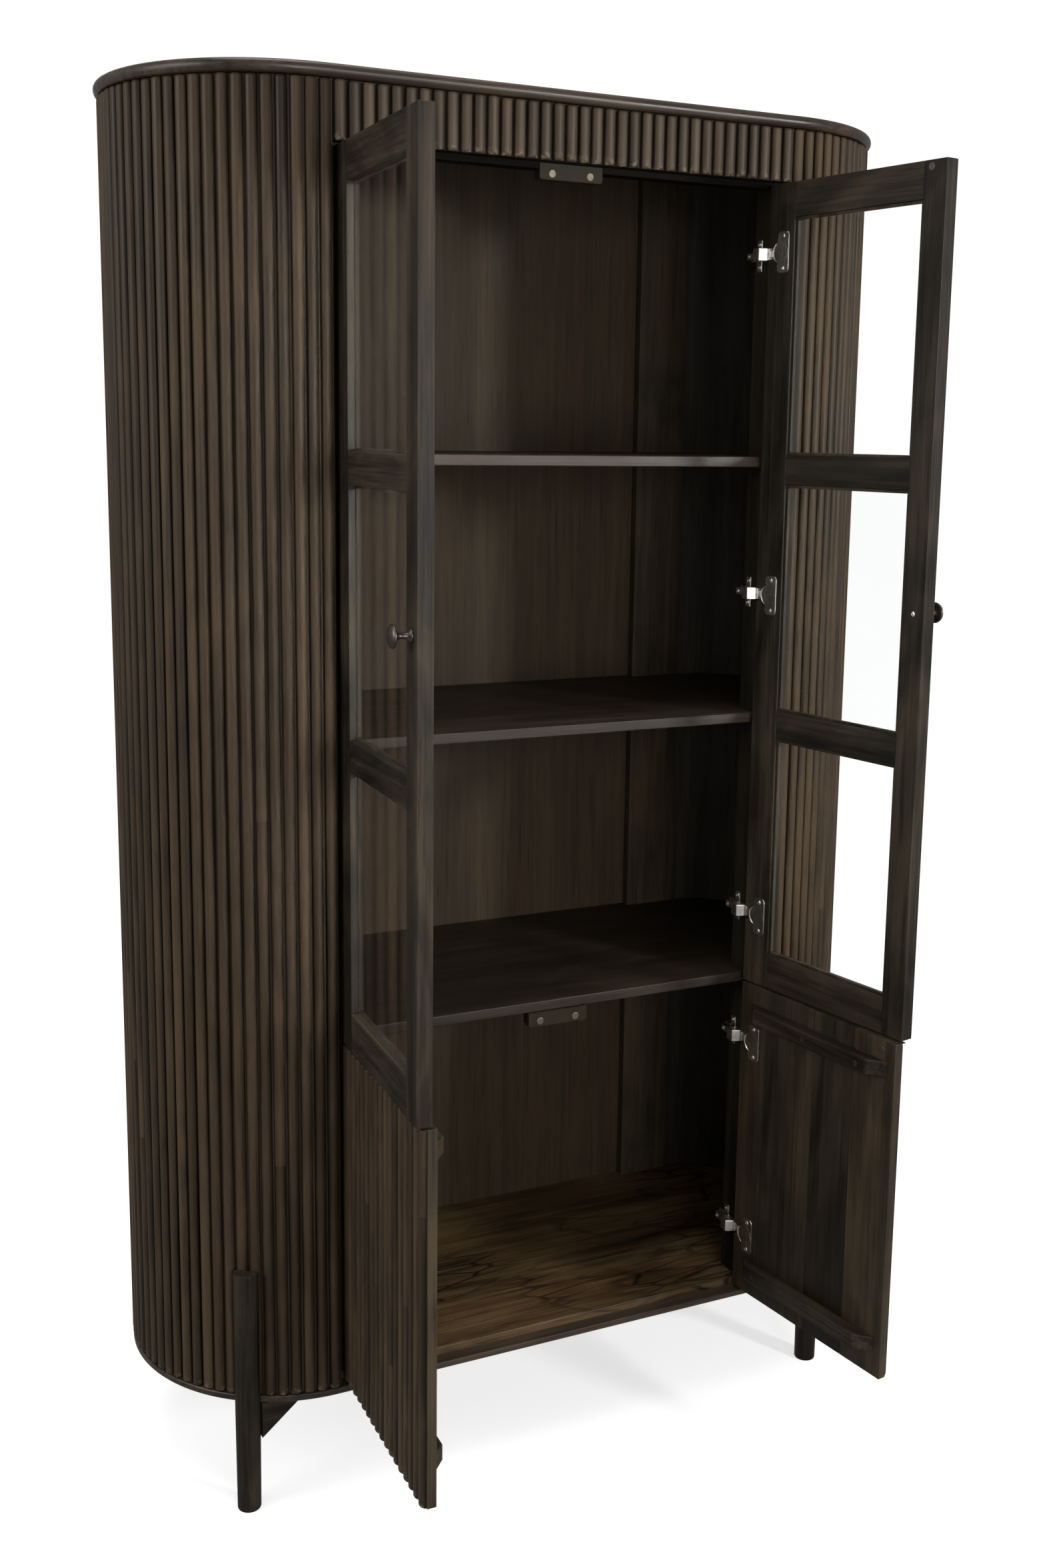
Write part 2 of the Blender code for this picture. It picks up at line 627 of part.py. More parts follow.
# ---- hinges ------------------------------------------------------------------------------------
def hinge_cup(body, side, name, z):
    """Cup, flange and the two ears that turn on the arm's barrel."""
    x = door_x(side, CUP_EDGE)
    bm = bmesh.new()
    add_disc(bm, (x, z), CUP_RADIUS, DOOR_THICK - CUP_DEPTH, DOOR_THICK + FIT + FLANGE_THICK / 2, 24)
    cup = finish(name, bm, bright_metal(), body)
    near = DOOR_THICK + FIT
    ends = sorted((door_x(side, FLANGE_FAR), door_x(side, FLANGE_FAR - FLANGE_WIDTH)))
    plate = rectangle(ends[0], ends[1], near, near + FLANGE_THICK)
    half = FLANGE_LENGTH / 2
    boolean(cup, helper(lambda b: add_prism(b, plate, z - half, z + half), body), "UNION")
    px = door_x(side, PIVOT_EDGE)
    low = PIVOT_DEPTH - BARREL_RADIUS
    high = PIVOT_DEPTH + BARREL_RADIUS
    for ear in (-1, 1):
        start = z + ear * (BARREL_HALF + FIT)
        levels = sorted((start, start + ear * (EAR_HEIGHT - FIT)))
        steps = 12
        arc = [(px + side * BARREL_RADIUS * sin(pi * i / steps),
                PIVOT_DEPTH - BARREL_RADIUS * cos(pi * i / steps)) for i in range(steps + 1)]
        outline = arc + [(x, high), (x, low)]
        boolean(cup, helper(lambda b: add_prism(b, outline, levels[0], levels[1]), body), "UNION")
    smooth(cup, 40.0)


def hinge_arm(root, side, name, z):
    """Mounting plate on the post, arm, and the barrel that the door turns on."""
    wall = HINGE_EDGE - FIT
    face = wall - PLATE_THICK
    bm = bmesh.new()
    plate = [(wall, PLATE_FRONT), (wall, PLATE_BACK), (face, PLATE_BACK), (face, PLATE_FRONT)]
    add_prism(bm, [(side * x, y) for x, y in plate], z - PLATE_HALF, z + PLATE_HALF)
    arm = finish(name, bm, bright_metal(), root)
    far = face - ARM_WIDTH
    body = [(face + 0.0005, ARM_FRONT), (face + 0.0005, ARM_BACK), (far, ARM_BACK), (far, ARM_FRONT)]
    body = [(side * x, y) for x, y in body]
    boolean(arm, helper(lambda b: add_prism(b, body, z - ARM_HALF, z + ARM_HALF), root), "UNION")
    steps = 16
    ring = [(side * (PIVOT_X + BARREL_RADIUS * cos(2 * pi * i / steps)),
             PIVOT_Y + BARREL_RADIUS * sin(2 * pi * i / steps)) for i in range(steps)]
    boolean(arm, helper(lambda b: add_prism(b, ring, z - BARREL_HALF, z + BARREL_HALF), root), "UNION")
    half = BARREL_RADIUS * 0.8
    neck = rectangle(PIVOT_X - half, PIVOT_X + half, PIVOT_Y, ARM_FRONT + 0.001)
    neck = [(side * x, y) for x, y in neck]
    boolean(arm, helper(lambda b: add_prism(b, neck, z - BARREL_HALF, z + BARREL_HALF), root), "UNION")
    smooth(arm, 40.0)


# ---- catches -----------------------------------------------------------------------------------
def catch_block(root, name, top):
    """Block with two round magnets that hold the pair of doors."""
    front = DOOR_THICK + 0.0025
    steps = 4
    outline = [(-CATCH_HALF, top), (CATCH_HALF, top)]
    for side in (1, -1):
        for i in range(steps + 1):
            turn = pi / 2 * (i / steps if side > 0 else 1 - i / steps)
            outline.append((side * (CATCH_HALF - CATCH_CORNER * (1 - cos(turn))),
                            top - CATCH_HEIGHT + CATCH_CORNER * (1 - sin(turn))))
    bm = bmesh.new()
    add_rings(bm, [[(x, y, z) for x, z in outline] for y in (front, front + CATCH_DEPTH)])
    block = finish(name, bm, catch_brown(), root)
    for side in (-1, 1):
        centre = (side * MAGNET_OFFSET, top - CATCH_HEIGHT * 0.62)
        face = front - MAGNET_PROUD
        magnet = helper(lambda b: add_disc(b, centre, MAGNET_RADIUS, face, front + 0.002), root)
        boolean(block, magnet, "UNION")
    smooth(block, 40.0)


def build():
    clear_scene()
    root = body_empty("cabinet_frame", (0.0, -ORIGIN_Y, 0.0), 0.0, (0.0, 0.0, 0.0))
    top_panel(root)
    base_panel(root)
    frieze_panel(root)
    header_rail(root)
    back_panel(root)
    for number, top in enumerate(reversed(SHELF_TOPS)):
        shelf(root, number + 1, top)
    for side, word in ((-1, "left"), (1, "right")):
        end_shell(root, side)
        hinge_post(root, side)
        back_stile(root, side)
        for end, place in ((-1, "front"), (1, "back")):
            leg(root, side, end, "%s_%s_leg" % (place, word))
            bracket(root, side, end, "%s_%s_bracket" % (place, word))
        upper = door_empty("upper_" + word, side)
        lower = door_empty("lower_" + word, side)
        upper_door(upper, side, "upper_%s_door" % word)
        lower_door(lower, side, "lower_%s_door" % word)
        rows = ((upper, UPPER_HINGES, "upper"), (lower, LOWER_HINGES, "lower"))
        for body, heights, level in rows:
            for k, height in enumerate(heights):
                tag = "%s_%s_hinge_%d" % (level, word, k + 1)
                hinge_cup(body, side, tag + "_cup", height)
                hinge_arm(root, side, tag + "_arm", height)
    catch_block(root, "top_catch_block", FRIEZE_Z - FIT)
    catch_block(root, "shelf_catch_block", SHELF_TOPS[0] - SHELF_THICK - FIT)


build()
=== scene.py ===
import json
import random
from math import cos, pi, radians, sin

import bmesh
import bpy
from mathutils import Matrix, Vector


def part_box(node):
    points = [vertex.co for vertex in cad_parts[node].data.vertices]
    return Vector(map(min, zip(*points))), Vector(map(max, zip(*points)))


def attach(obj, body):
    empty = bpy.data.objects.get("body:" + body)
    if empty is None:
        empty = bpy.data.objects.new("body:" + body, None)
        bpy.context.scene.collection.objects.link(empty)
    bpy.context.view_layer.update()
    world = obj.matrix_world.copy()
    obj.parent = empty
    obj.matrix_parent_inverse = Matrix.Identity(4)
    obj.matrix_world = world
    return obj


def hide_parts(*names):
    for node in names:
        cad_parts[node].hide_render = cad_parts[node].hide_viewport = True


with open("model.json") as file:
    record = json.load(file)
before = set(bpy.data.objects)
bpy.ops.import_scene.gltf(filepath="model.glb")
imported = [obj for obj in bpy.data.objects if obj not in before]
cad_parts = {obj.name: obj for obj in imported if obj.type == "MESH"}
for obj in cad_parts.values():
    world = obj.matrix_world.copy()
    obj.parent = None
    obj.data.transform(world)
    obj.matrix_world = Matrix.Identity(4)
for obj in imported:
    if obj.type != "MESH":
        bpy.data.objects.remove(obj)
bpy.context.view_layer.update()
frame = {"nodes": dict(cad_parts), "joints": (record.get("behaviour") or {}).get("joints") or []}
nodes = frame["nodes"]
shades = random.Random(7)
print("frame loaded:", len(nodes), "nodes")

# ends of the case and the doors' turning points come from the frame
shellLow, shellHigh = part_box("right_end_shell")
topLow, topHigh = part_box("top_panel")
baseLow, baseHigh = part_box("base_panel")
endRadius = (shellHigh.y - shellLow.y) / 2
endCentre = Vector((shellHigh.x - endRadius, (shellHigh.y + shellLow.y) / 2))
openingHalf = shellLow.x
frontY = shellLow.y
sides = (("left", -1), ("right", 1))


def doorPlace(name):
    joint = next(j for j in frame["joints"] if j["child"] == name)
    side = joint["axis"][2]
    rest = radians(-joint["range_deg"][0])
    pivot = Vector((joint["pos_m"][0], joint["pos_m"][1], 0))
    return Matrix.Translation(pivot) @ Matrix.Rotation(side * rest, 4, "Z")


def closedBox(node, place):  # a node's box with its door turned shut, from the pivot
    back = place.inverted()
    points = [back @ v.co for v in nodes[node].data.vertices]
    low = Vector([min(p[i] for p in points) for i in range(3)])
    high = Vector([max(p[i] for p in points) for i in range(3)])
    return low, high


def linked(name, data):   # an object in the scene
    made = bpy.data.objects.new(name, data)
    bpy.context.scene.collection.objects.link(made)
    return made


def evenNormals(piece):   # flat faces stay flat beside their rounded edges
    mod = piece.modifiers.new("evenNormals", "WEIGHTED_NORMAL")
    mod.keep_sharp = True
    mod.weight = 80


def newPiece(name, bm, material, body, replaced=(), place=None, angle=35, flat=False):
    bmesh.ops.recalc_face_normals(bm, faces=bm.faces)
    mesh = bpy.data.meshes.new(name)
    bm.to_mesh(mesh)
    bm.free()
    for one in material if isinstance(material, (list, tuple)) else [material]:
        mesh.materials.append(one)
    if not flat:
        mesh.shade_smooth()
        mesh.set_sharp_from_angle(angle=radians(angle))
    piece = linked(name, mesh)
    if place is not None:
        piece.matrix_world = place
    if not flat:
        evenNormals(piece)
    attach(piece, body)
    if replaced:
        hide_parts(*replaced)
    return piece


def layerOf(layers, name):   # a number kept on each face or point, which the materials read
    return layers.float.get(name) or layers.float.new(name)


def setTone(bm, faces, tone, materialIndex=0):
    layer = layerOf(bm.faces.layers, "tone")
    for face in faces:
        face[layer] = tone
        face.material_index = materialIndex


def softenAll(bm, offset, segments):
    bmesh.ops.recalc_face_normals(bm, faces=bm.faces)
    bmesh.ops.bevel(bm, geom=list(bm.edges), offset=offset, segments=segments, affect="EDGES", profile=0.5)


def addBoard(bm, low, high, bevel=0.0012, tone=None, segments=2):
    layerOf(bm.faces.layers, "tone")   # stands before the first face
    low, high = Vector(low), Vector(high)
    made = bmesh.ops.create_cube(bm, size=1.0)["verts"]
    middle = (low + high) / 2
    size = high - low
    for v in made:
        v.co = Vector((v.co.x * size.x, v.co.y * size.y, v.co.z * size.z)) + middle
    tone = shades.random() if tone is None else tone
    setTone(bm, [f for v in made for f in v.link_faces], tone)
    if bevel:
        edges = list(dict.fromkeys(e for v in made for e in v.link_edges))
        done = bmesh.ops.bevel(bm, geom=edges, offset=bevel, segments=segments, affect="EDGES", profile=0.5)
        setTone(bm, done["faces"], tone)


def addRings(bm, rings, tone=None, materialIndex=0):   # a closed form through rings of points
    layerOf(bm.faces.layers, "tone")
    loops = [[bm.verts.new(p) for p in ring] for ring in rings]
    count = len(loops[0])
    tone = shades.random() if tone is None else tone
    faces = [bm.faces.new(loops[0]), bm.faces.new(loops[-1])]
    for a, b in zip(loops, loops[1:]):
        for i in range(count):
            j = (i + 1) % count
            faces.append(bm.faces.new((a[i], a[j], b[j], b[i])))
    setTone(bm, faces, tone, materialIndex)


def addLathe(bm, profile, centre, axis, steps=32, tone=0.5, materialIndex=0):
    # a turned form; the profile is (radius, distance along the axis)
    axis = Vector(axis).normalized()
    turned = Vector((0, 0, 1)).rotation_difference(axis).to_matrix()
    rings = []
    for radius, along in profile:
        ring = []
        for i in range(steps):
            turn = 2 * pi * i / steps
            ring.append(Vector(centre) + turned @ Vector((radius * cos(turn), radius * sin(turn), along)))
        rings.append(ring)
    addRings(bm, rings, tone, materialIndex)


def cutWith(piece, bm, place):
    bmesh.ops.recalc_face_normals(bm, faces=bm.faces)
    mesh = bpy.data.meshes.new("cutter")
    bm.to_mesh(mesh)
    bm.free()
    cutter = linked("cutter", mesh)
    cutter.matrix_world = place
    mod = piece.modifiers.new("cut", "BOOLEAN")
    mod.object = cutter
    mod.operation = "DIFFERENCE"
    bpy.context.view_layer.update()
    piece.modifiers["evenNormals"].show_viewport = False
    bpy.context.view_layer.update()
    cut = bpy.data.meshes.new_from_object(piece.evaluated_get(bpy.context.evaluated_depsgraph_get()))
    piece.modifiers.clear()
    cut.set_sharp_from_angle(angle=radians(35))
    piece.data = cut
    evenNormals(piece)
    bpy.data.objects.remove(cutter)


def shaderStart(name):
    material = bpy.data.materials.new(name)
    material.use_nodes = True
    tree = material.node_tree
    return material, tree, tree.nodes["Principled BSDF"]


def addNode(tree, kind, values=None, **settings):
    node = tree.nodes.new(kind)
    for key, value in settings.items():
        setattr(node, key, value)
    for key, value in (values or {}).items():
        node.inputs[key].default_value = value
    return node


def colourRamp(tree, source, stops):
    ramp = tree.nodes.new("ShaderNodeValToRGB")
    while len(ramp.color_ramp.elements) < len(stops):
        ramp.color_ramp.elements.new(0.5)
    for element, (place, colour) in zip(ramp.color_ramp.elements, stops):
        element.position = place
        element.color = (*colour, 1)
    tree.links.new(source, ramp.inputs["Fac"])
    return ramp


def mathNode(tree, operation, first, second, clamp=False):
    node = tree.nodes.new("ShaderNodeMath")
    node.operation = operation
    node.use_clamp = clamp
    for socket, value in zip(node.inputs, (first, second)):
        if isinstance(value, (int, float)):
            socket.default_value = value
        else:
            tree.links.new(value, socket)
    return node.outputs[0]


def mixColour(tree, factor, first, second, blend="MIX"):
    node = tree.nodes.new("ShaderNodeMix")
    node.data_type = "RGBA"
    node.blend_type = blend
    for socket, value in ((node.inputs[0], factor), (node.inputs[6], first), (node.inputs[7], second)):
        if isinstance(value, (int, float)):
            socket.default_value = value
        elif isinstance(value, tuple):
            socket.default_value = (*value, 1)
        else:
            tree.links.new(value, socket)
    return node.outputs[2]


def noiseNode(tree, vector, scale, detail, distortion=0.0, roughness=0.5):
    made = addNode(tree, "ShaderNodeTexNoise", {"Scale": scale, "Detail": detail, "Distortion": distortion,
                                                "Roughness": roughness})
    tree.links.new(vector, made.inputs["Vector"])
    return made.outputs["Fac"]


def setRough(tree, shader, source, low, high, start=0.0, end=1.0):
    values = {"From Min": start, "From Max": end, "To Min": low, "To Max": high}
    spread = addNode(tree, "ShaderNodeMapRange", values)
    tree.links.new(source, spread.inputs["Value"])
    tree.links.new(spread.outputs[0], shader.inputs["Roughness"])


def setBump(tree, shader, source, strength, distance):
    raised = addNode(tree, "ShaderNodeBump", {"Strength": strength, "Distance": distance})
    tree.links.new(source, raised.inputs["Height"])
    tree.links.new(raised.outputs[0], shader.inputs["Normal"])


black = (0.0, 0.0, 0.0)
white = (1.0, 1.0, 1.0)

woodLook = {
    "poreScale": 260.0,      # pores across the grain
    "streakScale": 46.0,     # streaks across the grain
    "alongGrain": 0.035,     # how far grain stretches
    "patchScale": 3.2,       # stain patches
    "bumpDepth": 0.0007,
    "bareWood": (0.21, 0.165, 0.11),   # where a slat's foot is chipped
}

woodStain = {
    "slat": ((0.0108, 0.0067, 0.0038), (0.0330, 0.0213, 0.0122), (0.073, 0.0475, 0.0255)),
    # painted light: a lighter copy of the slat stain for the frieze, which faces the front light more than
    # the end slats
    "frieze": ((0.0160, 0.0107, 0.0068), (0.0435, 0.0294, 0.0190), (0.087, 0.061, 0.037)),
    "case": ((0.0055, 0.0042, 0.0028), (0.0200, 0.0150, 0.0097), (0.049, 0.037, 0.023)),
    "rim": ((0.013, 0.0088, 0.0056), (0.036, 0.0250, 0.0165), (0.078, 0.052, 0.033)),
    # painted shade: near-black stain for the hinge posts in their recess beside the doors and for the board
    # seen in the gaps between the frieze slats
    "dark": ((0.0030, 0.0024, 0.0017), (0.0085, 0.0068, 0.0048), (0.020, 0.0155, 0.0100)),
    # painted shade: near-black stain for the header rail, which sits in shade under the frieze
    "shade": ((0.0010, 0.0008, 0.0006), (0.0028, 0.0023, 0.0017), (0.008, 0.006, 0.004)),
    "back": ((0.020, 0.0135, 0.0075), (0.042, 0.0280, 0.0152), (0.070, 0.047, 0.025)),
    "inside": ((0.0100, 0.0074, 0.0045), (0.029, 0.0212, 0.0122), (0.060, 0.043, 0.0235)),
    "shelf": ((0.013, 0.0084, 0.0053), (0.027, 0.0180, 0.0114), (0.053, 0.036, 0.0228)),
    "floor": ((0.018, 0.0100, 0.0040), (0.082, 0.048, 0.0200), (0.150, 0.096, 0.0440)),
}


def stretch(grain, across, along):
    scale = [across] * 3
    scale["xyz".index(grain)] = along
    return scale


def woodMaterial(name, stain, grain="z", rough=0.46, toneSpread=0.55, crest=0.0, patch=0.5, cracks=0.0,
                 bump=0.35, gloss=0.4, contrast=1.6):
    # grain runs along one axis; each board's own shade comes from the tone attribute
    dark, mid, light = woodStain[stain]
    material, tree, shader = shaderStart(name)
    links = tree.links

    def calc(operation, first, second, clamp=False):
        return mathNode(tree, operation, first, second, clamp)

    def ramp(source, *stops):
        return colourRamp(tree, source, stops).outputs["Color"]

    def mix(factor, first, second, blend="MULTIPLY"):
        return mixColour(tree, factor, first, second, blend)

    coords = addNode(tree, "ShaderNodeTexCoord")
    tone = addNode(tree, "ShaderNodeAttribute", attribute_name="tone").outputs["Fac"]
    shift = addNode(tree, "ShaderNodeCombineXYZ")
    for socket in shift.inputs:
        links.new(calc("MULTIPLY", tone, 37.0), socket)
    moved = addNode(tree, "ShaderNodeVectorMath", operation="ADD")
    links.new(coords.outputs["Object"], moved.inputs[0])
    links.new(shift.outputs[0], moved.inputs[1])

    def noise(scale, detail, distortion=0.0):
        mapping = addNode(tree, "ShaderNodeMapping", {"Scale": scale})
        links.new(moved.outputs[0], mapping.inputs["Vector"])
        return noiseNode(tree, mapping.outputs[0], 1.0, detail, distortion, 0.6)

    across = woodLook["streakScale"]
    streak = noise(stretch(grain, across, across * woodLook["alongGrain"]), 6.0, 0.5)
    fine = noise(stretch(grain, woodLook["poreScale"], woodLook["poreScale"] * 0.03), 4.0, 0.2)
    patches = noise(stretch(grain, woodLook["patchScale"] * 2.4, woodLook["patchScale"]), 4.0, 0.8)
    level = calc("ADD", calc("MULTIPLY", streak, 0.62), calc("MULTIPLY", fine, 0.38))
    level = calc("ADD", level, calc("MULTIPLY", calc("SUBTRACT", patches, 0.5), patch))
    level = calc("ADD", calc("MULTIPLY", level, contrast), 0.5 - 0.5 * contrast)
    lifted = calc("MULTIPLY", calc("SUBTRACT", tone, 0.5), toneSpread)
    level = calc("ADD", level, lifted, True)
    colour = ramp(level, (0.22, dark), (0.5, mid), (0.8, light))
    hue = noise(stretch(grain, 9.0, 0.8), 2.0)   # some streaks are redder, some greyer
    colour = mix(1.0, colour, ramp(hue, (0.35, (1.0, 0.97, 0.93)), (0.5, white), (0.65, (1.04, 0.94, 0.90))))
    colour = mix(0.55, colour, ramp(fine, (0.30, (0.42, 0.40, 0.38)), (0.42, white)))
    if crest:   # slats are lighter on their crests, partly real rubbing and partly a painted highlight, and darker down their sides into the valleys, which is painted shade
        high = addNode(tree, "ShaderNodeAttribute", attribute_name="crest").outputs["Fac"]
        # crest lightening: real rubbing wear plus a painted highlight along each crest
        rubbedAndHighlit = calc("MULTIPLY", calc("POWER", high, 3.0), noise((30, 30, 1.2), 3.0), True)
        colour = mix(calc("MULTIPLY", rubbedAndHighlit, crest, True), colour, light, "MIX")
        tip = addNode(tree, "ShaderNodeAttribute", attribute_name="tip").outputs["Fac"]
        bare = calc("MULTIPLY", tip, ramp(noise((160, 160, 160), 3.0), (0.50, black), (0.62, white)))
        colour = mix(calc("MULTIPLY", bare, 0.75), colour, woodLook["bareWood"], "MIX")
        # painted shade: darker down each slat's sides into the valleys between slats
        colour = mix(1.0, colour, ramp(high, (0.0, (0.10, 0.09, 0.08)), (0.55, white)))
    height = calc("ADD", calc("MULTIPLY", fine, 0.7), calc("MULTIPLY", streak, 0.5))
    if cracks:
        warp = noise((3, 3, 3), 3.0)
        mapping = addNode(tree, "ShaderNodeMapping", {"Scale": stretch(grain, 120.0, 24.0)})
        links.new(moved.outputs[0], mapping.inputs["Vector"])
        bent = addNode(tree, "ShaderNodeVectorMath", operation="ADD")
        links.new(mapping.outputs[0], bent.inputs[0])
        push = addNode(tree, "ShaderNodeCombineXYZ")
        links.new(calc("MULTIPLY", warp, 3.0), push.inputs[1])
        links.new(push.outputs[0], bent.inputs[1])
        cells = addNode(tree, "ShaderNodeTexVoronoi", {"Scale": 0.35}, feature="DISTANCE_TO_EDGE")
        links.new(bent.outputs[0], cells.inputs["Vector"])
        line = ramp(cells.outputs["Distance"], (0.01, black), (0.07, white))
        crackMask = mix(1.0, line, ramp(warp, (0.48, white), (0.60, black)), "LIGHTEN")
        colour = mix(cracks, colour, mix(1.0, colour, crackMask), "MIX")
        height = calc("ADD", height, calc("MULTIPLY", crackMask, 1.6))
    links.new(colour, shader.inputs["Base Color"])
    setRough(tree, shader, patches, rough - 0.07, rough + 0.12, 0.3, 0.7)
    setBump(tree, shader, height, bump, woodLook["bumpDepth"])
    shader.inputs["Specular IOR Level"].default_value = gloss
    return material


woodFinish = {
    "slatWood": {"stain": "slat", "toneSpread": 0.36, "crest": 0.8, "patch": 0.8, "gloss": 0.20},
    # painted light: the frieze's lighter copy of the slat finish
    "litFriezeWood": {"stain": "frieze", "toneSpread": 0.36, "crest": 0.7, "patch": 0.6, "gloss": 0.24},
    "frameWoodUp": {"stain": "case", "toneSpread": 0.2, "rough": 0.50, "patch": 0.9, "gloss": 0.20},
    "frameWoodAcross": {"stain": "case", "grain": "x", "toneSpread": 0.2, "rough": 0.50, "patch": 0.9,
                        "gloss": 0.20},
    "rimWood": {"stain": "rim", "grain": "x", "toneSpread": 0.3, "rough": 0.38, "gloss": 0.42},
    # painted shade: near-black finishes for the recessed hinge posts and the board between the frieze slats
    "darkShadeWoodUp": {"stain": "dark", "toneSpread": 0.3, "rough": 0.60, "gloss": 0.12},
    "darkShadeWoodAcross": {"stain": "dark", "grain": "x", "toneSpread": 0.3, "rough": 0.60, "gloss": 0.12},
    # painted shade: the header rail's near-black finish
    "paintedShadeWood": {"stain": "shade", "grain": "x", "rough": 0.65, "gloss": 0.05},
    "backWood": {"stain": "back", "toneSpread": 0.3, "rough": 0.6, "patch": 0.45, "gloss": 0.2,
                 "contrast": 0.95},
    "insideWood": {"stain": "inside", "toneSpread": 0.36, "rough": 0.55, "patch": 0.8, "gloss": 0.25,
                   "contrast": 1.3},
    "shelfWood": {"stain": "shelf", "grain": "x", "toneSpread": 0.3, "rough": 0.46, "gloss": 0.34},
    "floorWood": {"stain": "floor", "grain": "x", "toneSpread": 0.3, "rough": 0.50, "cracks": 0.9,
                  "patch": 0.7, "bump": 0.6, "gloss": 0.3},
}
wood = {name: woodMaterial(name, **look) for name, look in woodFinish.items()}

metalLook = {
    "nickel": {"colour": (0.74, 0.70, 0.65), "rough": 0.27, "brush": 0.07},
    "bronze": {"colour": (0.13, 0.112, 0.10), "rough": 0.34, "brush": 0.10},
    "steel": {"colour": (0.15, 0.128, 0.098), "rough": 0.45, "brush": 0.12},
}


def metalMaterial(name, look):
    material, tree, shader = shaderStart(name)
    place = addNode(tree, "ShaderNodeTexCoord").outputs["Object"]
    mapping = addNode(tree, "ShaderNodeMapping", {"Scale": (900, 900, 90)})
    tree.links.new(place, mapping.inputs["Vector"])
    brushed = noiseNode(tree, mapping.outputs[0], 1.0, 3.0)
    smudge = noiseNode(tree, place, 60.0, 3.0)
    dull = tuple(c * 0.62 for c in look["colour"])
    colour = colourRamp(tree, smudge, ((0.35, dull), (0.6, look["colour"])))
    tree.links.new(colour.outputs["Color"], shader.inputs["Base Color"])
    setRough(tree, shader, brushed, look["rough"] - look["brush"], look["rough"] + 2 * look["brush"])
    setBump(tree, shader, brushed, 0.08, 0.0002)
    shader.inputs["Metallic"].default_value = 1.0
    return material


nickel, bronze, steel = [metalMaterial(name, look) for name, look in metalLook.items()]


def glassMaterial():
    material, tree, shader = shaderStart("paneGlass")
    smear = noiseNode(tree, addNode(tree, "ShaderNodeTexCoord").outputs["Object"], 7.0, 5.0)
    colour = colourRamp(tree, smear, ((0.3, (0.965, 0.985, 0.975)), (0.7, (0.99, 1.0, 0.995))))
    tree.links.new(colour.outputs["Color"], shader.inputs["Base Color"])
    setRough(tree, shader, smear, 0.0, 0.02)
    shader.inputs["Transmission Weight"].default_value = 1.0
    shader.inputs["IOR"].default_value = 1.45
    # light passes the pane, so that what stands behind it is lit
    path = addNode(tree, "ShaderNodeLightPath")
    clear = addNode(tree, "ShaderNodeBsdfTransparent", {"Color": (0.94, 0.97, 0.95, 1)})
    mixer = addNode(tree, "ShaderNodeMixShader")
    tree.links.new(path.outputs["Is Shadow Ray"], mixer.inputs[0])
    tree.links.new(shader.outputs[0], mixer.inputs[1])
    tree.links.new(clear.outputs[0], mixer.inputs[2])
    tree.links.new(mixer.outputs[0], tree.nodes["Material Output"].inputs["Surface"])
    return material


paneGlass = glassMaterial()


def plasticMaterial(name, colour, rough, gloss):
    material, tree, shader = shaderStart(name)
    place = addNode(tree, "ShaderNodeTexCoord").outputs["Object"]
    grain = noiseNode(tree, place, 900.0, 2.0)
    dirt = noiseNode(tree, place, 45.0, 4.0)
    worn = tuple(c * 0.7 for c in colour)
    mottled = colourRamp(tree, dirt, ((0.35, worn), (0.65, colour)))
    tree.links.new(mottled.outputs["Color"], shader.inputs["Base Color"])
    setRough(tree, shader, dirt, rough - 0.08, rough + 0.08)
    setBump(tree, shader, grain, 0.12, 0.0003)
    shader.inputs["Specular IOR Level"].default_value = gloss
    return material


catchBrown = plasticMaterial("catchBrown", (0.020, 0.0145, 0.0072), 0.6, 0.15)
print("materials made")

slatLook = {
    "gap": 0.0032,         # between two slats
    "depth": 0.008,        # how far a slat stands off its board
    "sunk": 0.0006,        # how far it is let into the board
    "endRound": 0.0045,    # softened ends
    "tip": 0.012,          # chipped length at the foot
    "unevenness": 0.00035,
    "endShort": 0.0012,    # a slat may stop this much short
    "joined": 0.35,        # share of slats made from two lengths
    "joinedFrom": 0.3,     # a shorter slat is always one length
    "seam": 0.0003,
    "endSteps": 4,
    "steps": 10,
}


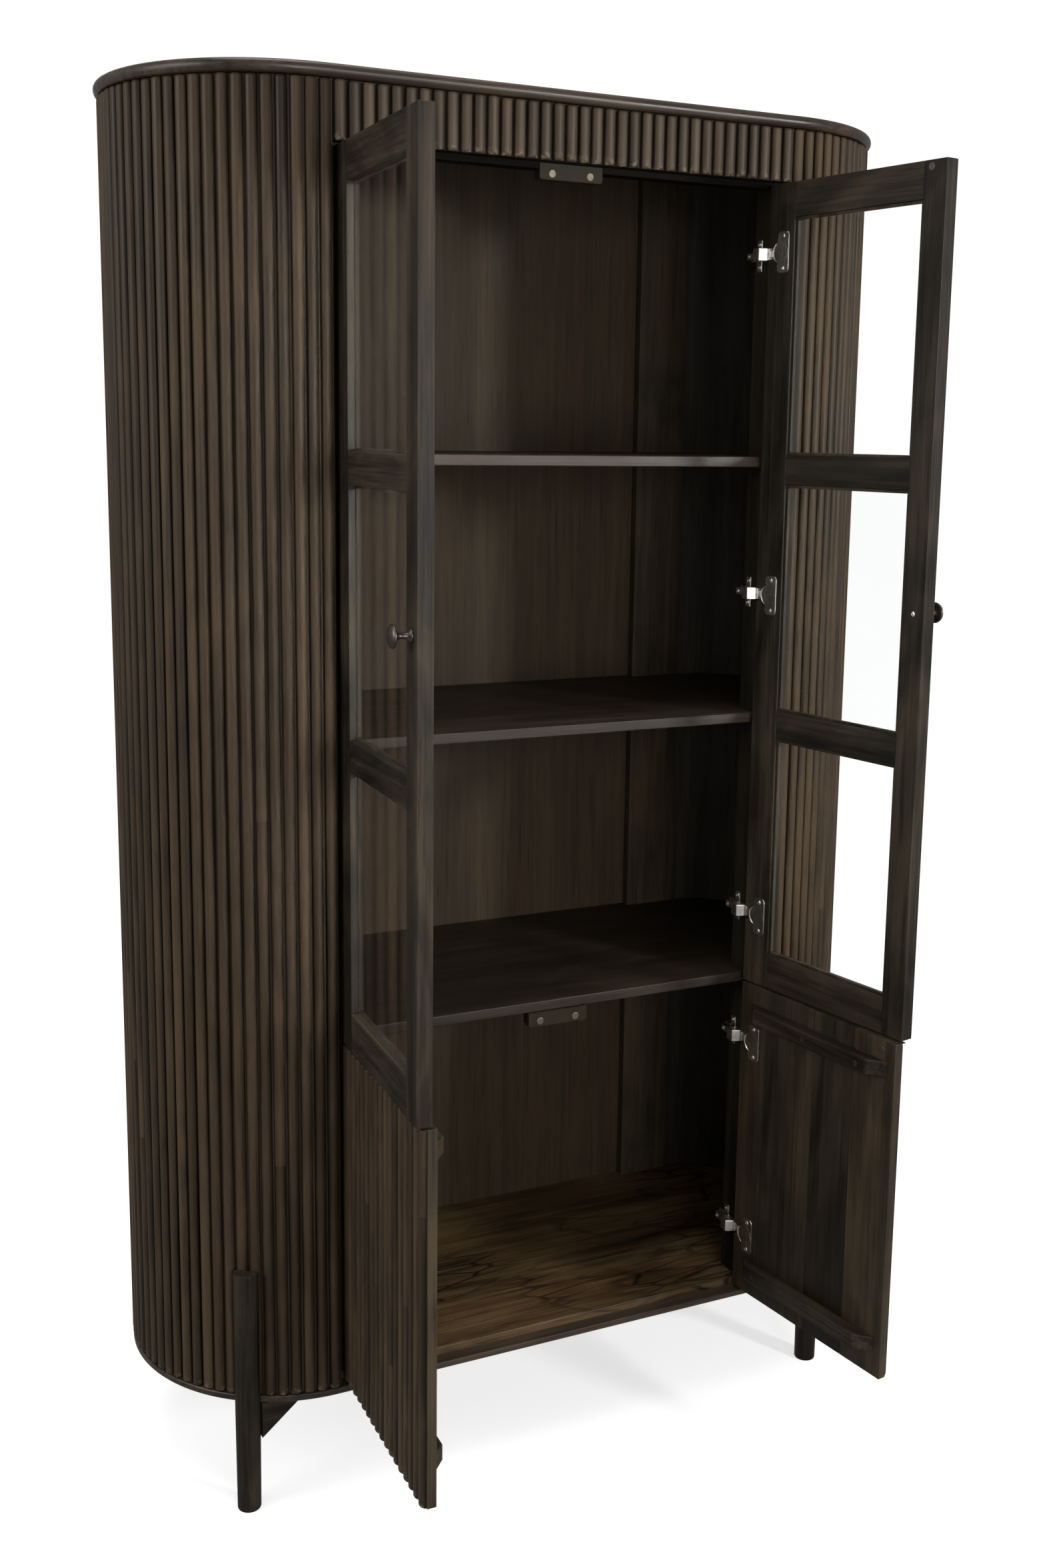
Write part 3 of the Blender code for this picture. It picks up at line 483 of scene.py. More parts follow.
def addSlat(bm, spot, along, out, half, low, high):
    # one half-round slat with softened ends, let into its board
    toneLayer = layerOf(bm.faces.layers, "tone")
    crestLayer = layerOf(bm.verts.layers, "crest")
    tipLayer = layerOf(bm.verts.layers, "tip")
    depth = slatLook["depth"] - shades.random() * slatLook["unevenness"]
    low += shades.random() * slatLook["endShort"] * 0.3
    high -= shades.random() * slatLook["endShort"]
    soft, bends, seam = slatLook["endRound"], slatLook["endSteps"], slatLook["seam"]
    tones = [shades.random(), shades.random()]
    joint = low + (high - low) * shades.uniform(0.15, 0.85)
    split = shades.random() < slatLook["joined"] and high - low > slatLook["joinedFrom"]
    turns = [pi / 2 * i / bends for i in range(bends + 1)]
    curve = [(soft * (1 - cos(turn)), soft * (1 - sin(turn))) for turn in turns]
    levels = [(low + rise, inset) for rise, inset in curve]
    levels.append((low + slatLook["tip"], 0.0))
    if split:
        levels += [(joint - seam, 0.0), (joint, seam / 3), (joint + seam, 0.0)]
    levels += [(high - rise, inset) for rise, inset in reversed(curve)]
    steps = slatLook["steps"]
    rings = []
    for z, inset in levels:
        ring = []
        wide = half - inset * 0.35
        tall = max(depth - inset * 0.9, 0.001)
        for i in range(steps + 1):
            turn = pi * i / steps
            p = spot - along * (wide * cos(turn)) + out * (tall * sin(turn))
            v = bm.verts.new((p.x, p.y, z))
            v[crestLayer] = sin(turn) * (1 if inset < 0.001 else 0.75)
            v[tipLayer] = max(0.0, 1 - (z - low) / slatLook["tip"])
            ring.append(v)
        for edge in (1, -1):
            p = spot + along * (wide * edge) - out * slatLook["sunk"]
            v = bm.verts.new((p.x, p.y, z))
            v[crestLayer] = 0.0
            ring.append(v)
        rings.append((z, ring))
    faces = [(bm.faces.new(rings[0][1]), 0), (bm.faces.new(rings[-1][1]), int(split))]
    for (_, a), (zb, b) in zip(rings, rings[1:]):
        for i in range(len(a)):
            j = (i + 1) % len(a)
            face = bm.faces.new((a[i], a[j], b[j], b[i]))
            faces.append((face, int(split and zb > joint)))
    for f, part in faces:
        f[toneLayer] = tones[part]


def endPath(side, shellCount, boardRadius):
    # slat middles from the opening round the end to the back
    straight = endCentre.x - openingHalf
    arc = pi * endRadius
    pitch = (arc + 2 * straight) / shellCount
    for k in range(shellCount):
        run = (k + 0.5) * pitch - straight
        turn = min(max(run / endRadius, 0.0), pi)
        extra = min(run, 0.0) if run < arc else -(run - arc)
        out = Vector((sin(turn), -cos(turn)))
        along = Vector((cos(turn), sin(turn)))
        spot = Vector((endCentre.x + extra, endCentre.y)) + out * boardRadius
        yield (*[Vector((side * v.x, v.y)) for v in (spot, along, out)], pitch)


shellLook = {"slats": 40, "board": 0.016, "boardShort": 0.0005, "steps": 72}


def makeShell(word, side):
    low, high = shellLow.z, shellHigh.z
    boardRadius = endRadius - slatLook["depth"]
    inner = boardRadius - shellLook["board"]
    outline = [(openingHalf, endCentre.y - boardRadius)]
    steps = shellLook["steps"]
    for i in range(steps + 1):
        turn = pi * i / steps
        outline.append((endCentre.x + boardRadius * sin(turn), endCentre.y - boardRadius * cos(turn)))
    outline += [(openingHalf, endCentre.y + boardRadius), (openingHalf, endCentre.y + inner)]
    for i in range(steps + 1):
        turn = pi * (1 - i / steps)
        outline.append((endCentre.x + inner * sin(turn), endCentre.y - inner * cos(turn)))
    outline.append((openingHalf, endCentre.y - inner))
    bm = bmesh.new()
    hidden = shellLook["boardShort"]
    addRings(bm, [[(side * x, y, z) for x, y in outline] for z in (low + hidden, high - hidden)], 0.3)
    node = word + "_end_shell"
    newPiece(word + "BentBoard", bm, wood["insideWood"], "cabinet", [node])
    bm = bmesh.new()
    for spot, along, out, pitch in endPath(side, shellLook["slats"], boardRadius):
        addSlat(bm, spot, along, out, (pitch - slatLook["gap"]) / 2, low, high)
    newPiece(word + "EndSlats", bm, wood["slatWood"], "cabinet", [node], angle=50)


for word, side in sides:
    makeShell(word, side)
print("rounded ends made")


def addSlatRow(bm, side, start, pitch, count, y, low, high):   # slats on a flat board
    for k in range(count):
        spot = Vector((side * (start + (k + 0.5) * pitch), y))
        addSlat(bm, spot, Vector((1, 0)), Vector((0, -1)), (pitch - slatLook["gap"]) / 2, low, high)


friezeLook = {"slats": 36, "boardShort": 0.0004}


def makeFrieze():
    low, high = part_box("frieze_panel")
    boardFront = low.y + slatLook["depth"]
    bm = bmesh.new()
    addBoard(bm, (low.x, boardFront, low.z + friezeLook["boardShort"]), (high.x, high.y, high.z), 0.0006)
    # the board behind the frieze slats takes the painted-shade stain, dark in the gaps
    newPiece("friezeBoard", bm, wood["darkShadeWoodAcross"], "cabinet", ["frieze_panel"])
    bm = bmesh.new()
    pitch = 2 * openingHalf / friezeLook["slats"]
    addSlatRow(bm, 1, -openingHalf, pitch, friezeLook["slats"], boardFront, low.z, high.z)
    newPiece("friezeSlats", bm, wood["litFriezeWood"], "cabinet", ["frieze_panel"], angle=50)


makeFrieze()
print("frieze made")

topLook = {"round": 0.0085, "steps": 56}


def stadium(grow, steps):
    radius = endRadius + grow
    points = []
    for side in (1, -1):
        for i in range(steps + 1):
            turn = pi * i / steps
            x = endCentre.x + radius * sin(turn)
            points.append((side * x, endCentre.y - side * radius * cos(turn)))
    return points


def makeTop():
    overhang = topHigh.x - endCentre.x - endRadius
    rounded = topLook["round"]
    steps = topLook["steps"]
    levels = []
    for i in range(6):
        turn = pi / 2 * i / 5
        levels.append((rounded * (sin(turn) - 1), topLow.z + rounded * (1 - cos(turn))))
    for i in range(6):
        turn = pi / 2 * i / 5
        levels.append((rounded * (cos(turn) - 1), topHigh.z - rounded * (1 - sin(turn))))
    rings = [[(x, y, z) for x, y in stadium(overhang + grow, steps)] for grow, z in levels]
    bm = bmesh.new()
    addRings(bm, rings, 0.55)
    newPiece("topBoard", bm, wood["rimWood"], "cabinet", ["top_panel"])


makeTop()

baseLook = {"rim": 0.010, "rimInset": 0.001, "boardFront": 0.0245, "soft": 0.0018, "steps": 56}


def makeBase():
    def layered(name, levels, tone, finish):
        rings = [[(x, y, z) for x, y in stadium(grow, baseLook["steps"])] for grow, z in levels]
        bm = bmesh.new()
        addRings(bm, rings, tone)
        newPiece(name, bm, wood[finish], "cabinet", ["base_panel"])

    soft = baseLook["soft"]
    edge, front = -baseLook["rimInset"], -baseLook["boardFront"]
    low, high = baseLow.z, baseHigh.z
    rimTop = low + baseLook["rim"]
    levels = ((edge - soft, low), (edge, low + soft), (edge, rimTop - soft * 0.6),
              (edge - soft * 0.6, rimTop))
    layered("baseBoard", levels, 0.45, "rimWood")
    levels = ((front, rimTop), (front, high - soft), (front - soft * 0.4, high - soft * 0.3),
              (front - soft, high))
    layered("floorBoard", levels, 0.5, "floorWood")


makeBase()
print("top and base made")

insideLook = {
    "bevel": 0.0010, "railBevel": 0.0008, "backBevel": 0.0005, "clear": 0.0004,
    # the hinge posts take the painted-shade stain for their shaded recess
    "posts": (("hinge_post", "HingePost", "darkShadeWoodUp"), ("back_stile", "BackStile", "insideWood")),
}


def makeInside():
    low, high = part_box("header_rail")
    catchLow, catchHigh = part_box("top_catch_block")
    clear, soft = insideLook["clear"], insideLook["railBevel"]
    bm = bmesh.new()
    addBoard(bm, (low.x, low.y, catchHigh.z + clear), (high.x, high.y, high.z), soft, 0.4)
    for x0, x1 in ((low.x, catchLow.x - clear), (catchHigh.x + clear, high.x)):
        addBoard(bm, (x0, low.y, low.z), (x1, high.y, catchHigh.z + clear), soft, 0.4)
    # the header rail wears the painted-shade stain
    newPiece("headerRail", bm, wood["paintedShadeWood"], "cabinet", ["header_rail"])
    for word, _ in sides:
        for part, name, finish in insideLook["posts"]:
            node = word + "_" + part
            low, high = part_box(node)
            bm = bmesh.new()
            addBoard(bm, low, high, insideLook["bevel"])
            newPiece(word + name, bm, wood[finish], "cabinet", [node])
    low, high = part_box("back_panel")
    bm = bmesh.new()
    addBoard(bm, low, high, insideLook["backBevel"], 0.5)
    newPiece("backBoard", bm, wood["backWood"], "cabinet", ["back_panel"])


makeInside()

shelfLook = {"soft": 0.0016}


def makeShelf(number):
    # the frame's own outline, with its edges softened
    node = "shelf_%d" % number
    bm = bmesh.new()
    bm.from_mesh(nodes[node].data)
    bmesh.ops.remove_doubles(bm, verts=bm.verts, dist=0.00005)
    bmesh.ops.dissolve_limit(bm, angle_limit=radians(1), verts=bm.verts, edges=bm.edges)
    edges = [e for e in bm.edges if len(e.link_faces) == 2 and e.calc_face_angle(0) > radians(60)
             and abs(e.verts[0].co.z - e.verts[1].co.z) < 0.0001]
    bmesh.ops.bevel(bm, geom=edges, offset=shelfLook["soft"], segments=3, affect="EDGES", profile=0.5)
    setTone(bm, bm.faces, shades.random())
    newPiece("shelf%d" % number, bm, wood["shelfWood"], "cabinet", [node])


for number in (1, 2, 3):
    makeShelf(number)
print("case boards made")

legLook = {
    "topRadius": 0.0185, "footRadius": 0.0175, "taperEnd": 0.012, "soft": 0.0022, "steps": 64,
    "clear": 0.0004, "bracketSoft": 0.0011,
}


def pushedOut(x, y):
    # a point kept outside the slats' crests
    end = Vector((endCentre.x if x > 0 else -endCentre.x, endCentre.y))
    away = Vector((x, y)) - end
    least = endRadius + legLook["clear"]
    if away.length < least:
        away = away.normalized() * least
    return end.x + away.x, end.y + away.y


def makeLeg(place, word):
    node = "%s_%s_leg" % (place, word)
    low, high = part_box(node)
    footX = [v.co for v in nodes[node].data.vertices if v.co.z < low.z + 0.001]
    middle = Vector([(min(p[i] for p in footX) + max(p[i] for p in footX)) / 2 for i in (0, 1)])
    soft = legLook["soft"]
    top, foot = legLook["topRadius"], legLook["footRadius"]
    under = baseLow.z - legLook["clear"]
    levels = [(foot - soft, 0.0, False), (foot - soft * 0.3, soft * 0.3, False), (foot, soft, False),
              (top, under - legLook["taperEnd"], False), (top, under, False), (top, under, True),
              (top, high.z - soft, True), (top - soft * 0.3, high.z - soft * 0.3, True),
              (top - soft, high.z, True)]
    steps = legLook["steps"]
    rings = []
    for radius, z, cut in levels:
        ring = []
        for i in range(steps):
            turn = 2 * pi * i / steps
            x, y = middle.x + radius * cos(turn), middle.y + radius * sin(turn)
            if cut:
                x, y = pushedOut(x, y)
            ring.append((x, y, z))
        rings.append(ring)
    bm = bmesh.new()
    addRings(bm, rings, 0.35)
    name = "%s%sLeg" % (place, word.title())
    newPiece(name, bm, wood["frameWoodUp"], "cabinet", [node], angle=40)


def makeBracket(place, word, side):
    node = "%s_%s_bracket" % (place, word)
    low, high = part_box(node)
    outer, inner = (low.x, high.x) if side < 0 else (high.x, low.x)
    bm = bmesh.new()
    corners = [(outer, high.z), (inner, high.z), (outer, low.z)]
    rings = [[(x, y, z) for x, z in corners] for y in (low.y, high.y)]
    addRings(bm, rings, 0.3)
    softenAll(bm, legLook["bracketSoft"], 2)
    name = "%s%sBracket" % (place, word.title())
    newPiece(name, bm, wood["frameWoodAcross"], "cabinet", [node])


for word, side in sides:
    for place in ("front", "back"):
        makeLeg(place, word)
        makeBracket(place, word, side)
print("legs made")

catchLook = {"corner": 0.0045, "front": 0.0008, "magnet": 0.0060, "magnetOff": 0.030, "drop": 0.62}


def makeCatch(node, name):
    low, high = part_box(node)
    front = low.y + catchLook["front"]
    corner = catchLook["corner"]
    outline = [(low.x, high.z), (high.x, high.z)]
    for side in (1, -1):
        edge = high.x if side > 0 else low.x
        for i in range(7):
            turn = pi / 2 * (i / 6 if side > 0 else 1 - i / 6)
            outline.append((edge - side * corner * (1 - cos(turn)), low.z + corner * (1 - sin(turn))))
    bm = bmesh.new()
    addRings(bm, [[(x, y, z) for x, z in outline] for y in (front + 0.0008, high.y)], 0.5)
    inset = [((x - (low.x + high.x) / 2) * 0.99 + (low.x + high.x) / 2,
              (z - (low.z + high.z) / 2) * 0.95 + (low.z + high.z) / 2) for x, z in outline]
    addRings(bm, [[(x, front, z) for x, z in inset], [(x, front + 0.0008, z) for x, z in outline]], 0.5)
    centreZ = high.z - (high.z - low.z) * catchLook["drop"]
    radius = catchLook["magnet"]
    for side in (-1, 1):
        spot = (side * catchLook["magnetOff"], front + 0.0004, centreZ)
        addLathe(bm, [(radius, -0.001), (radius, 0.0008), (radius * 0.86, 0.0012), (radius * 0.84, 0.0009)],
                 spot, (0, -1, 0), 36, 0.5, 1)
    newPiece(name, bm, [catchBrown, steel], "cabinet", [node])


makeCatch("top_catch_block", "topCatch")
makeCatch("shelf_catch_block", "shelfCatch")
print("catches made")

doorLook = {
    "pivotEdge": 0.004,       # hinge axis from the door's edge
    "hingeStile": 0.0545,
    "freeStile": 0.040,
    "bevel": 0.0011,
    "seam": 0.00015,          # hairline between the members
    "paneHeld": 0.004,        # glass let into the members
    "beadWide": 0.0045,
    "beadBack": 0.0030,       # bead stops short of the inner face
    "slats": 17,
    "planks": 4,
    "lip": 0.0014,            # thin edge over the slats' top ends
}


def slabX(side, fromEdge):   # across the door, from the hinge edge
    return side * (doorLook["pivotEdge"] - fromEdge)


def addAcross(bm, side, s0, s1, y0, y1, z0, z1, bevel, tone=None):
    xs = sorted((slabX(side, s0), slabX(side, s1)))
    addBoard(bm, (xs[0], y0, z0), (xs[1], y1, z1), bevel, tone)


def hingeHeights(level, word):
    found = []
    for node in sorted(nodes):
        if node.startswith("%s_%s_hinge_" % (level, word)) and node.endswith("_cup"):
            low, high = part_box(node)
            found.append((node[:-4], (low.z + high.z) / 2))
    return found


pocketLook = {
    "past": 0.003,            # the cut starts outside the wood
    "barrel": 0.0045,
    "tall": 0.010,
    "cup": 0.0170,
    "cupEdge": 0.027,
    "cupDeep": 0.0112,
    "neckDeep": 0.0040,
    "neckTall": 0.0088,
}


def cutPockets(piece, side, back, place, heights):   # room in the door for each hinge
    look = pocketLook
    room, past = look["barrel"], look["past"]

    def cutBox(start, end, deep, tall):
        bm = bmesh.new()
        addAcross(bm, side, start, end, -deep, back + past, z - tall, z + tall, 0)
        cutWith(piece, bm, place)

    for _, z in heights:
        cutBox(-past, doorLook["pivotEdge"] + room, room, look["tall"])
        bm = bmesh.new()
        centre = (slabX(side, look["cupEdge"]), back + past, z)
        addLathe(bm, [(look["cup"], 0.0), (look["cup"], look["cupDeep"] + past)], centre, (0, -1, 0), 40)
        cutWith(piece, bm, place)
        cutBox(0.002, look["cupEdge"], look["neckDeep"], look["neckTall"])


def makeUpperDoor(word, side):
    body = "upper_%s_door" % word
    title = "upper" + word.title()
    place = doorPlace(body)
    frameNode = body + "_frame"
    low, high = closedBox(frameNode, place)
    width = high.x - low.x
    front, back = low.y, high.y
    seam = doorLook["seam"]
    bevel = doorLook["bevel"]
    hs, fs = doorLook["hingeStile"], width - doorLook["freeStile"]
    bm = bmesh.new()
    addAcross(bm, side, 0, hs, front, back, low.z, high.z, bevel, 0.35)
    stile = newPiece(title + "HingeStile", bm, wood["frameWoodUp"], body, [frameNode], place)
    cutPockets(stile, side, back, place, hingeHeights("upper", word))
    bm = bmesh.new()
    addAcross(bm, side, fs, width, front, back, low.z, high.z, bevel, 0.6)
    newPiece(title + "FreeStile", bm, wood["frameWoodUp"], body, [frameNode], place)
    panes = [closedBox("%s_glass_%d" % (body, k), place) for k in (1, 2, 3)]
    lites = []
    lap = (panes[0][1].x - panes[0][0].x - (fs - hs)) / 2
    for a, b in panes:
        lites.append((a.z + lap, b.z - lap))
    heights = [low.z, *[z for lite in lites for z in lite], high.z]
    rails = zip(heights[::2], heights[1::2])
    bm = bmesh.new()
    for z0, z1 in rails:
        addAcross(bm, side, hs + seam, fs - seam, front + 0.0002, back - 0.0002, z0, z1, bevel)
    newPiece(title + "Rails", bm, wood["frameWoodAcross"], body, [frameNode], place)
    glassFront, glassBack = panes[0][0].y, panes[0][1].y
    wide = doorLook["beadWide"]
    beadEnd = back - doorLook["beadBack"]
    bm = bmesh.new()
    for z0, z1 in lites:
        for a, b in ((z0, z0 + wide), (z1 - wide, z1)):
            addAcross(bm, side, hs, fs, glassBack + 0.0002, beadEnd, a, b, 0.0009, 0.75)
        for a, b in ((hs, hs + wide), (fs - wide, fs)):
            addAcross(bm, side, a, b, glassBack + 0.0002, beadEnd, z0 + wide, z1 - wide, 0.0009, 0.7)
    newPiece(title + "GlazingBeads", bm, wood["frameWoodUp"], body, [frameNode], place)
    held = doorLook["paneHeld"]
    for k, (z0, z1) in enumerate(lites, 1):
        bm = bmesh.new()
        addAcross(bm, side, hs - held, fs + held, glassFront, glassBack, z0 - held, z1 + held, 0.0004)
        node = "%s_glass_%d" % (body, k)
        newPiece("%sPane%d" % (title, k), bm, paneGlass, body, [node], place, flat=True)
    makeKnob(title, body, front, back, place)
    addStrike(title, body, side, width, back, high.z - strikeLook["upperDrop"], place)


knobLook = {
    "steps": 48,
    "screw": 0.0042,
    "profile": ((0.0085, 0.0), (0.0088, 0.0012), (0.0080, 0.0026), (0.0052, 0.0040), (0.0041, 0.0062),
                (0.0037, 0.0105), (0.0038, 0.0148), (0.0050, 0.0182), (0.0085, 0.0204), (0.0126, 0.0216),
                (0.0146, 0.0228), (0.0150, 0.0240), (0.0146, 0.0254), (0.0128, 0.0268), (0.0095, 0.0280),
                (0.0050, 0.0287), (0.0012, 0.0290)),
}


def addScrew(bm, centre, axis, radius):   # round head with a sunk middle
    profile = [(radius, -0.0006), (radius, 0.0002), (radius * 0.86, 0.0008), (radius * 0.55, 0.0011),
               (radius * 0.42, 0.0011), (radius * 0.36, 0.0004), (radius * 0.05, 0.0003)]
    addLathe(bm, profile, centre, axis, 24)


def makeKnob(title, body, front, back, place):
    low, high = closedBox(body + "_knob", place)
    centre = Vector(((low.x + high.x) / 2, front - 0.0003, (low.z + high.z) / 2))
    bm = bmesh.new()
    addLathe(bm, knobLook["profile"], centre, (0, -1, 0), knobLook["steps"])
    newPiece(title + "Knob", bm, bronze, body, [body + "_knob"], place, 60)
    bm = bmesh.new()
    addScrew(bm, (centre.x, back, centre.z), (0, 1, 0), knobLook["screw"])
    newPiece(title + "KnobScrew", bm, nickel, body, (), place, 50)


strikeLook = {"edge": 0.027, "radius": 0.0055, "upperDrop": 0.0095, "lowerDrop": 0.0155}


def addStrike(title, body, side, width, back, z, place):
    x = slabX(side, width - strikeLook["edge"])
    radius = strikeLook["radius"]
    bm = bmesh.new()
    profile = [(radius, -0.0005), (radius, 0.0006), (radius * 0.9, 0.0009), (radius * 0.3, 0.0009),
               (radius * 0.22, 0.0005)]
    addLathe(bm, profile, (x, back, z), (0, 1, 0), 32)
    newPiece(title + "Strike", bm, steel, body, (), place, 50)


battenLook = {"soft": 0.0022, "plug": 0.0042, "plugs": (0.045, 0.16, 0.255), "slope": 1.15}


def makeLowerDoor(word, side):
    body = "lower_%s_door" % word
    title = "lower" + word.title()
    place = doorPlace(body)
    node = body + "_panel"
    low, high = closedBox(node, place)
    width = high.x - low.x
    front, back = low.y, high.y
    board = front + slatLook["depth"]
    bm = bmesh.new()
    plank = width / doorLook["planks"]
    for k in range(doorLook["planks"]):
        addAcross(bm, side, k * plank + (0.0001 if k else 0), (k + 1) * plank - 0.0001, board, back,
                  low.z, high.z, 0.0013)
    lip = doorLook["lip"]
    addAcross(bm, side, 0.0005, width - 0.0005, front + 0.0008, board + 0.001, high.z - lip, high.z, 0.0004)
    panel = newPiece(title + "Planks", bm, wood["insideWood"], body, [node], place)
    cutPockets(panel, side, back, place, hingeHeights("lower", word))
    bm = bmesh.new()
    pitch = width / doorLook["slats"]
    addSlatRow(bm, -side, -doorLook["pivotEdge"], pitch, doorLook["slats"], board, low.z, high.z - lip)
    newPiece(title + "Slats", bm, wood["slatWood"], body, [node], place, 50)
    for part in ("top", "foot"):
        battenNode = "%s_%s_batten" % (body, part)
        a, b = closedBox(battenNode, place)
        near, far = a.y, b.y
        slope = (far - near) * battenLook["slope"]
        plug = battenLook["plug"]
        bm = bmesh.new()
        outline = [(a.x, near), (a.x + slope, far), (b.x - slope, far), (b.x, near)]
        addRings(bm, [[(x, y, z) for x, y in outline] for z in (a.z, b.z)], 0.5)
        softenAll(bm, battenLook["soft"], 3)
        for s in battenLook["plugs"]:
            x = a.x + s if side > 0 else b.x - s
            addLathe(bm, [(plug, -0.002), (plug, 0.0003), (plug * 0.7, 0.0005)], (x, far, (a.z + b.z) / 2),
                     (0, 1, 0), 20, 0.95)
        name = title + part.title() + "Batten"
        newPiece(name, bm, wood["frameWoodAcross"], body, [battenNode], place)
    addStrike(title, body, side, width, back, high.z - strikeLook["lowerDrop"], place)


for word, side in sides:
    makeUpperDoor(word, side)
    makeLowerDoor(word, side)
print("doors made")

hingeLook = {
    "flangeWide": 0.024, "flangeTall": 0.060, "flangeThick": 0.0015, "flangeFar": 0.045,
    "cupEdge": 0.027, "cupRadius": 0.0160, "cupDeep": 0.0100,
    "barrel": 0.0034, "ear": 0.0026,
    "armWide": 0.0136, "coverTall": 0.0190, "armFront": 0.0310, "armBack": 0.0795,
    "plateFront": 0.042, "plateBack": 0.070, "plateTall": 0.047, "plateThick": 0.0022, "wingWide": 0.013,
    "pivotOff": 0.0036, "pivotBack": 0.0155, "pinTall": 0.0092, "coverSoft": 0.0011,
    "spineTall": 0.0155, "armTall": 0.0112, "tailTall": 0.0085, "armScrews": (0.0550, 0.0690),
    # slanting cover, and the neck before it
    "cover": ((0.0022, 0.0248), (0.0075, 0.0248), (0.0205, 0.0300), (0.0205, 0.0460), (0.0022, 0.0480)),
    "neck": ((-0.0016, 0.0203), (0.0041, 0.0222), (0.0041, 0.0290), (-0.0016, 0.0290)),
}


def roundedPlate(wide, tall, corner, steps=6):
    points = []
    for sx, sz, start in ((1, 1, 0), (-1, 1, 1), (-1, -1, 2), (1, -1, 3)):
        for i in range(steps + 1):
            turn = pi / 2 * (start + i / steps)
            x = sx * (wide / 2 - corner) + corner * cos(turn)
            points.append((x, sz * (tall / 2 - corner) + corner * sin(turn)))
    return points


def makeHingeCup(tag, node, level, word, side, z):   # flange, cup, screws and ears on the door
    body = "%s_%s_door" % (level, word)
    place = doorPlace(body)
    doorNode = body + ("_frame" if level == "upper" else "_panel")
    back = closedBox(doorNode, place)[1].y
    look = hingeLook
    bm = bmesh.new()
    centreX = slabX(side, look["flangeFar"] - look["flangeWide"] / 2)
    cupX = slabX(side, look["cupEdge"])
    face = back + 0.0003
    outline = roundedPlate(look["flangeWide"], look["flangeTall"], 0.006)
    rim = face + look["flangeThick"]
    rings = []
    for inX, inZ, y in ((1, 1, face), (1, 1, face + look["flangeThick"] * 0.6), (0.97, 0.9875, rim)):
        rings.append([(centreX + x * inX, y, z + t * inZ) for x, t in outline])
    addRings(bm, rings, 0.5)
    radius, deep = look["cupRadius"], look["cupDeep"]
    dish = [(radius * 0.9, -deep), (radius, -deep + 0.001), (radius, 0.0001), (radius * 0.97, 0.0002),
            (radius * 0.93, -0.0004), (radius * 0.88, -0.0009)]
    addLathe(bm, dish, (cupX, rim, z), (0, 1, 0), 40)
    for up in (-1, 1):
        addScrew(bm, (centreX, rim, z + up * look["flangeTall"] * 0.39), (0, 1, 0), 0.0036)
    ear = look["ear"]
    barrel = look["barrel"]
    for up in (-1, 1):
        middle = z + up * (0.0058 + ear / 2)
        ring = []
        for i in range(9):
            turn = pi * i / 8
            ring.append((side * barrel * sin(turn), -barrel * cos(turn)))
        ring += [(cupX, barrel), (cupX, -barrel)]
        addRings(bm, [[(x, y, middle + t) for x, y in ring] for t in (-ear / 2, ear / 2)], 0.5)
    newPiece(tag + "Cup", bm, nickel, body, [node + "_cup"], place, 40)


def makeHingeArm(tag, node, side, z):   # base plate, arm, bright cover and neck on the case
    node += "_arm"
    low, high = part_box(node)
    look = hingeLook
    wall = low.x if side < 0 else high.x      # post's face
    plateFace = wall - side * look["plateThick"]
    body = plateFace - side * look["armWide"]
    pivotX = wall - side * look["pivotOff"]
    armFront, armBack = look["armFront"], look["armBack"]
    bm = bmesh.new()

    def block(x0, x1, y0, y1, tall, bevel, segments=3):
        xs = sorted((x0, x1))
        low, high = (xs[0], frontY + y0, z - tall / 2), (xs[1], frontY + y1, z + tall / 2)
        addBoard(bm, low, high, bevel, 0.5, segments)

    def cover(edge, outline, half):   # the outline is (in from the edge, back from the case's front)
        part = bmesh.new()
        shape = [(edge - side * into, frontY + y) for into, y in outline]
        addRings(part, [[(x, y, z + lift) for x, y in shape] for lift in (-half, half)], 0.5)
        softenAll(part, look["coverSoft"], 3)
        mesh = bpy.data.meshes.new("cover")
        part.to_mesh(mesh)
        part.free()
        bm.from_mesh(mesh)
        bpy.data.meshes.remove(mesh)

    middle = (look["plateFront"] + look["plateBack"]) / 2
    wing = look["wingWide"] / 2
    block(wall, plateFace, middle - wing, middle + wing, look["plateTall"], 0.0009)     # wings
    block(wall, plateFace, armFront + 0.004, armBack, look["spineTall"], 0.0007)
    half = look["coverTall"] / 2
    cover(wall, look["cover"], half)
    cover(pivotX, look["neck"], half - 0.0006)
    block(plateFace, body + side * 0.0030, armFront + 0.0165, armBack - 0.004, look["armTall"], 0.0018)
    block(plateFace, body + side * 0.0062, armBack - 0.0075, armBack, look["tailTall"], 0.0015)
    for y in look["armScrews"]:
        addScrew(bm, (body + side * 0.0030, frontY + y, z), (-side, 0, 0), 0.0034)
    for up in (-1, 1):
        spot = (plateFace, frontY + middle, z + up * look["plateTall"] * 0.36)
        addScrew(bm, spot, (-side, 0, 0), 0.0042)
    barrel, pin = look["barrel"], look["pinTall"] / 2
    pivot = (pivotX, frontY + look["pivotBack"], z)
    profile = [(barrel * 0.8, -pin - 0.0006), (barrel, -pin), (barrel, pin), (barrel * 0.8, pin + 0.0006)]
    addLathe(bm, profile, pivot, (0, 0, 1), 24)
    wide = barrel * 0.75
    block(pivotX - wide, pivotX + wide, look["pivotBack"], armFront + 0.002, look["pinTall"], 0.0007, 2)
    newPiece(tag + "Arm", bm, nickel, "cabinet", [node], angle=40)


for word, side in sides:
    for level in ("upper", "lower"):
        for index, (nodeName, z) in enumerate(hingeHeights(level, word)):
            tag = "%s%sHinge%d" % (level, word.title(), index + 1)
            makeHingeCup(tag, nodeName, level, word, side, z)
            makeHingeArm(tag, nodeName, side, z)
print("hinges made")

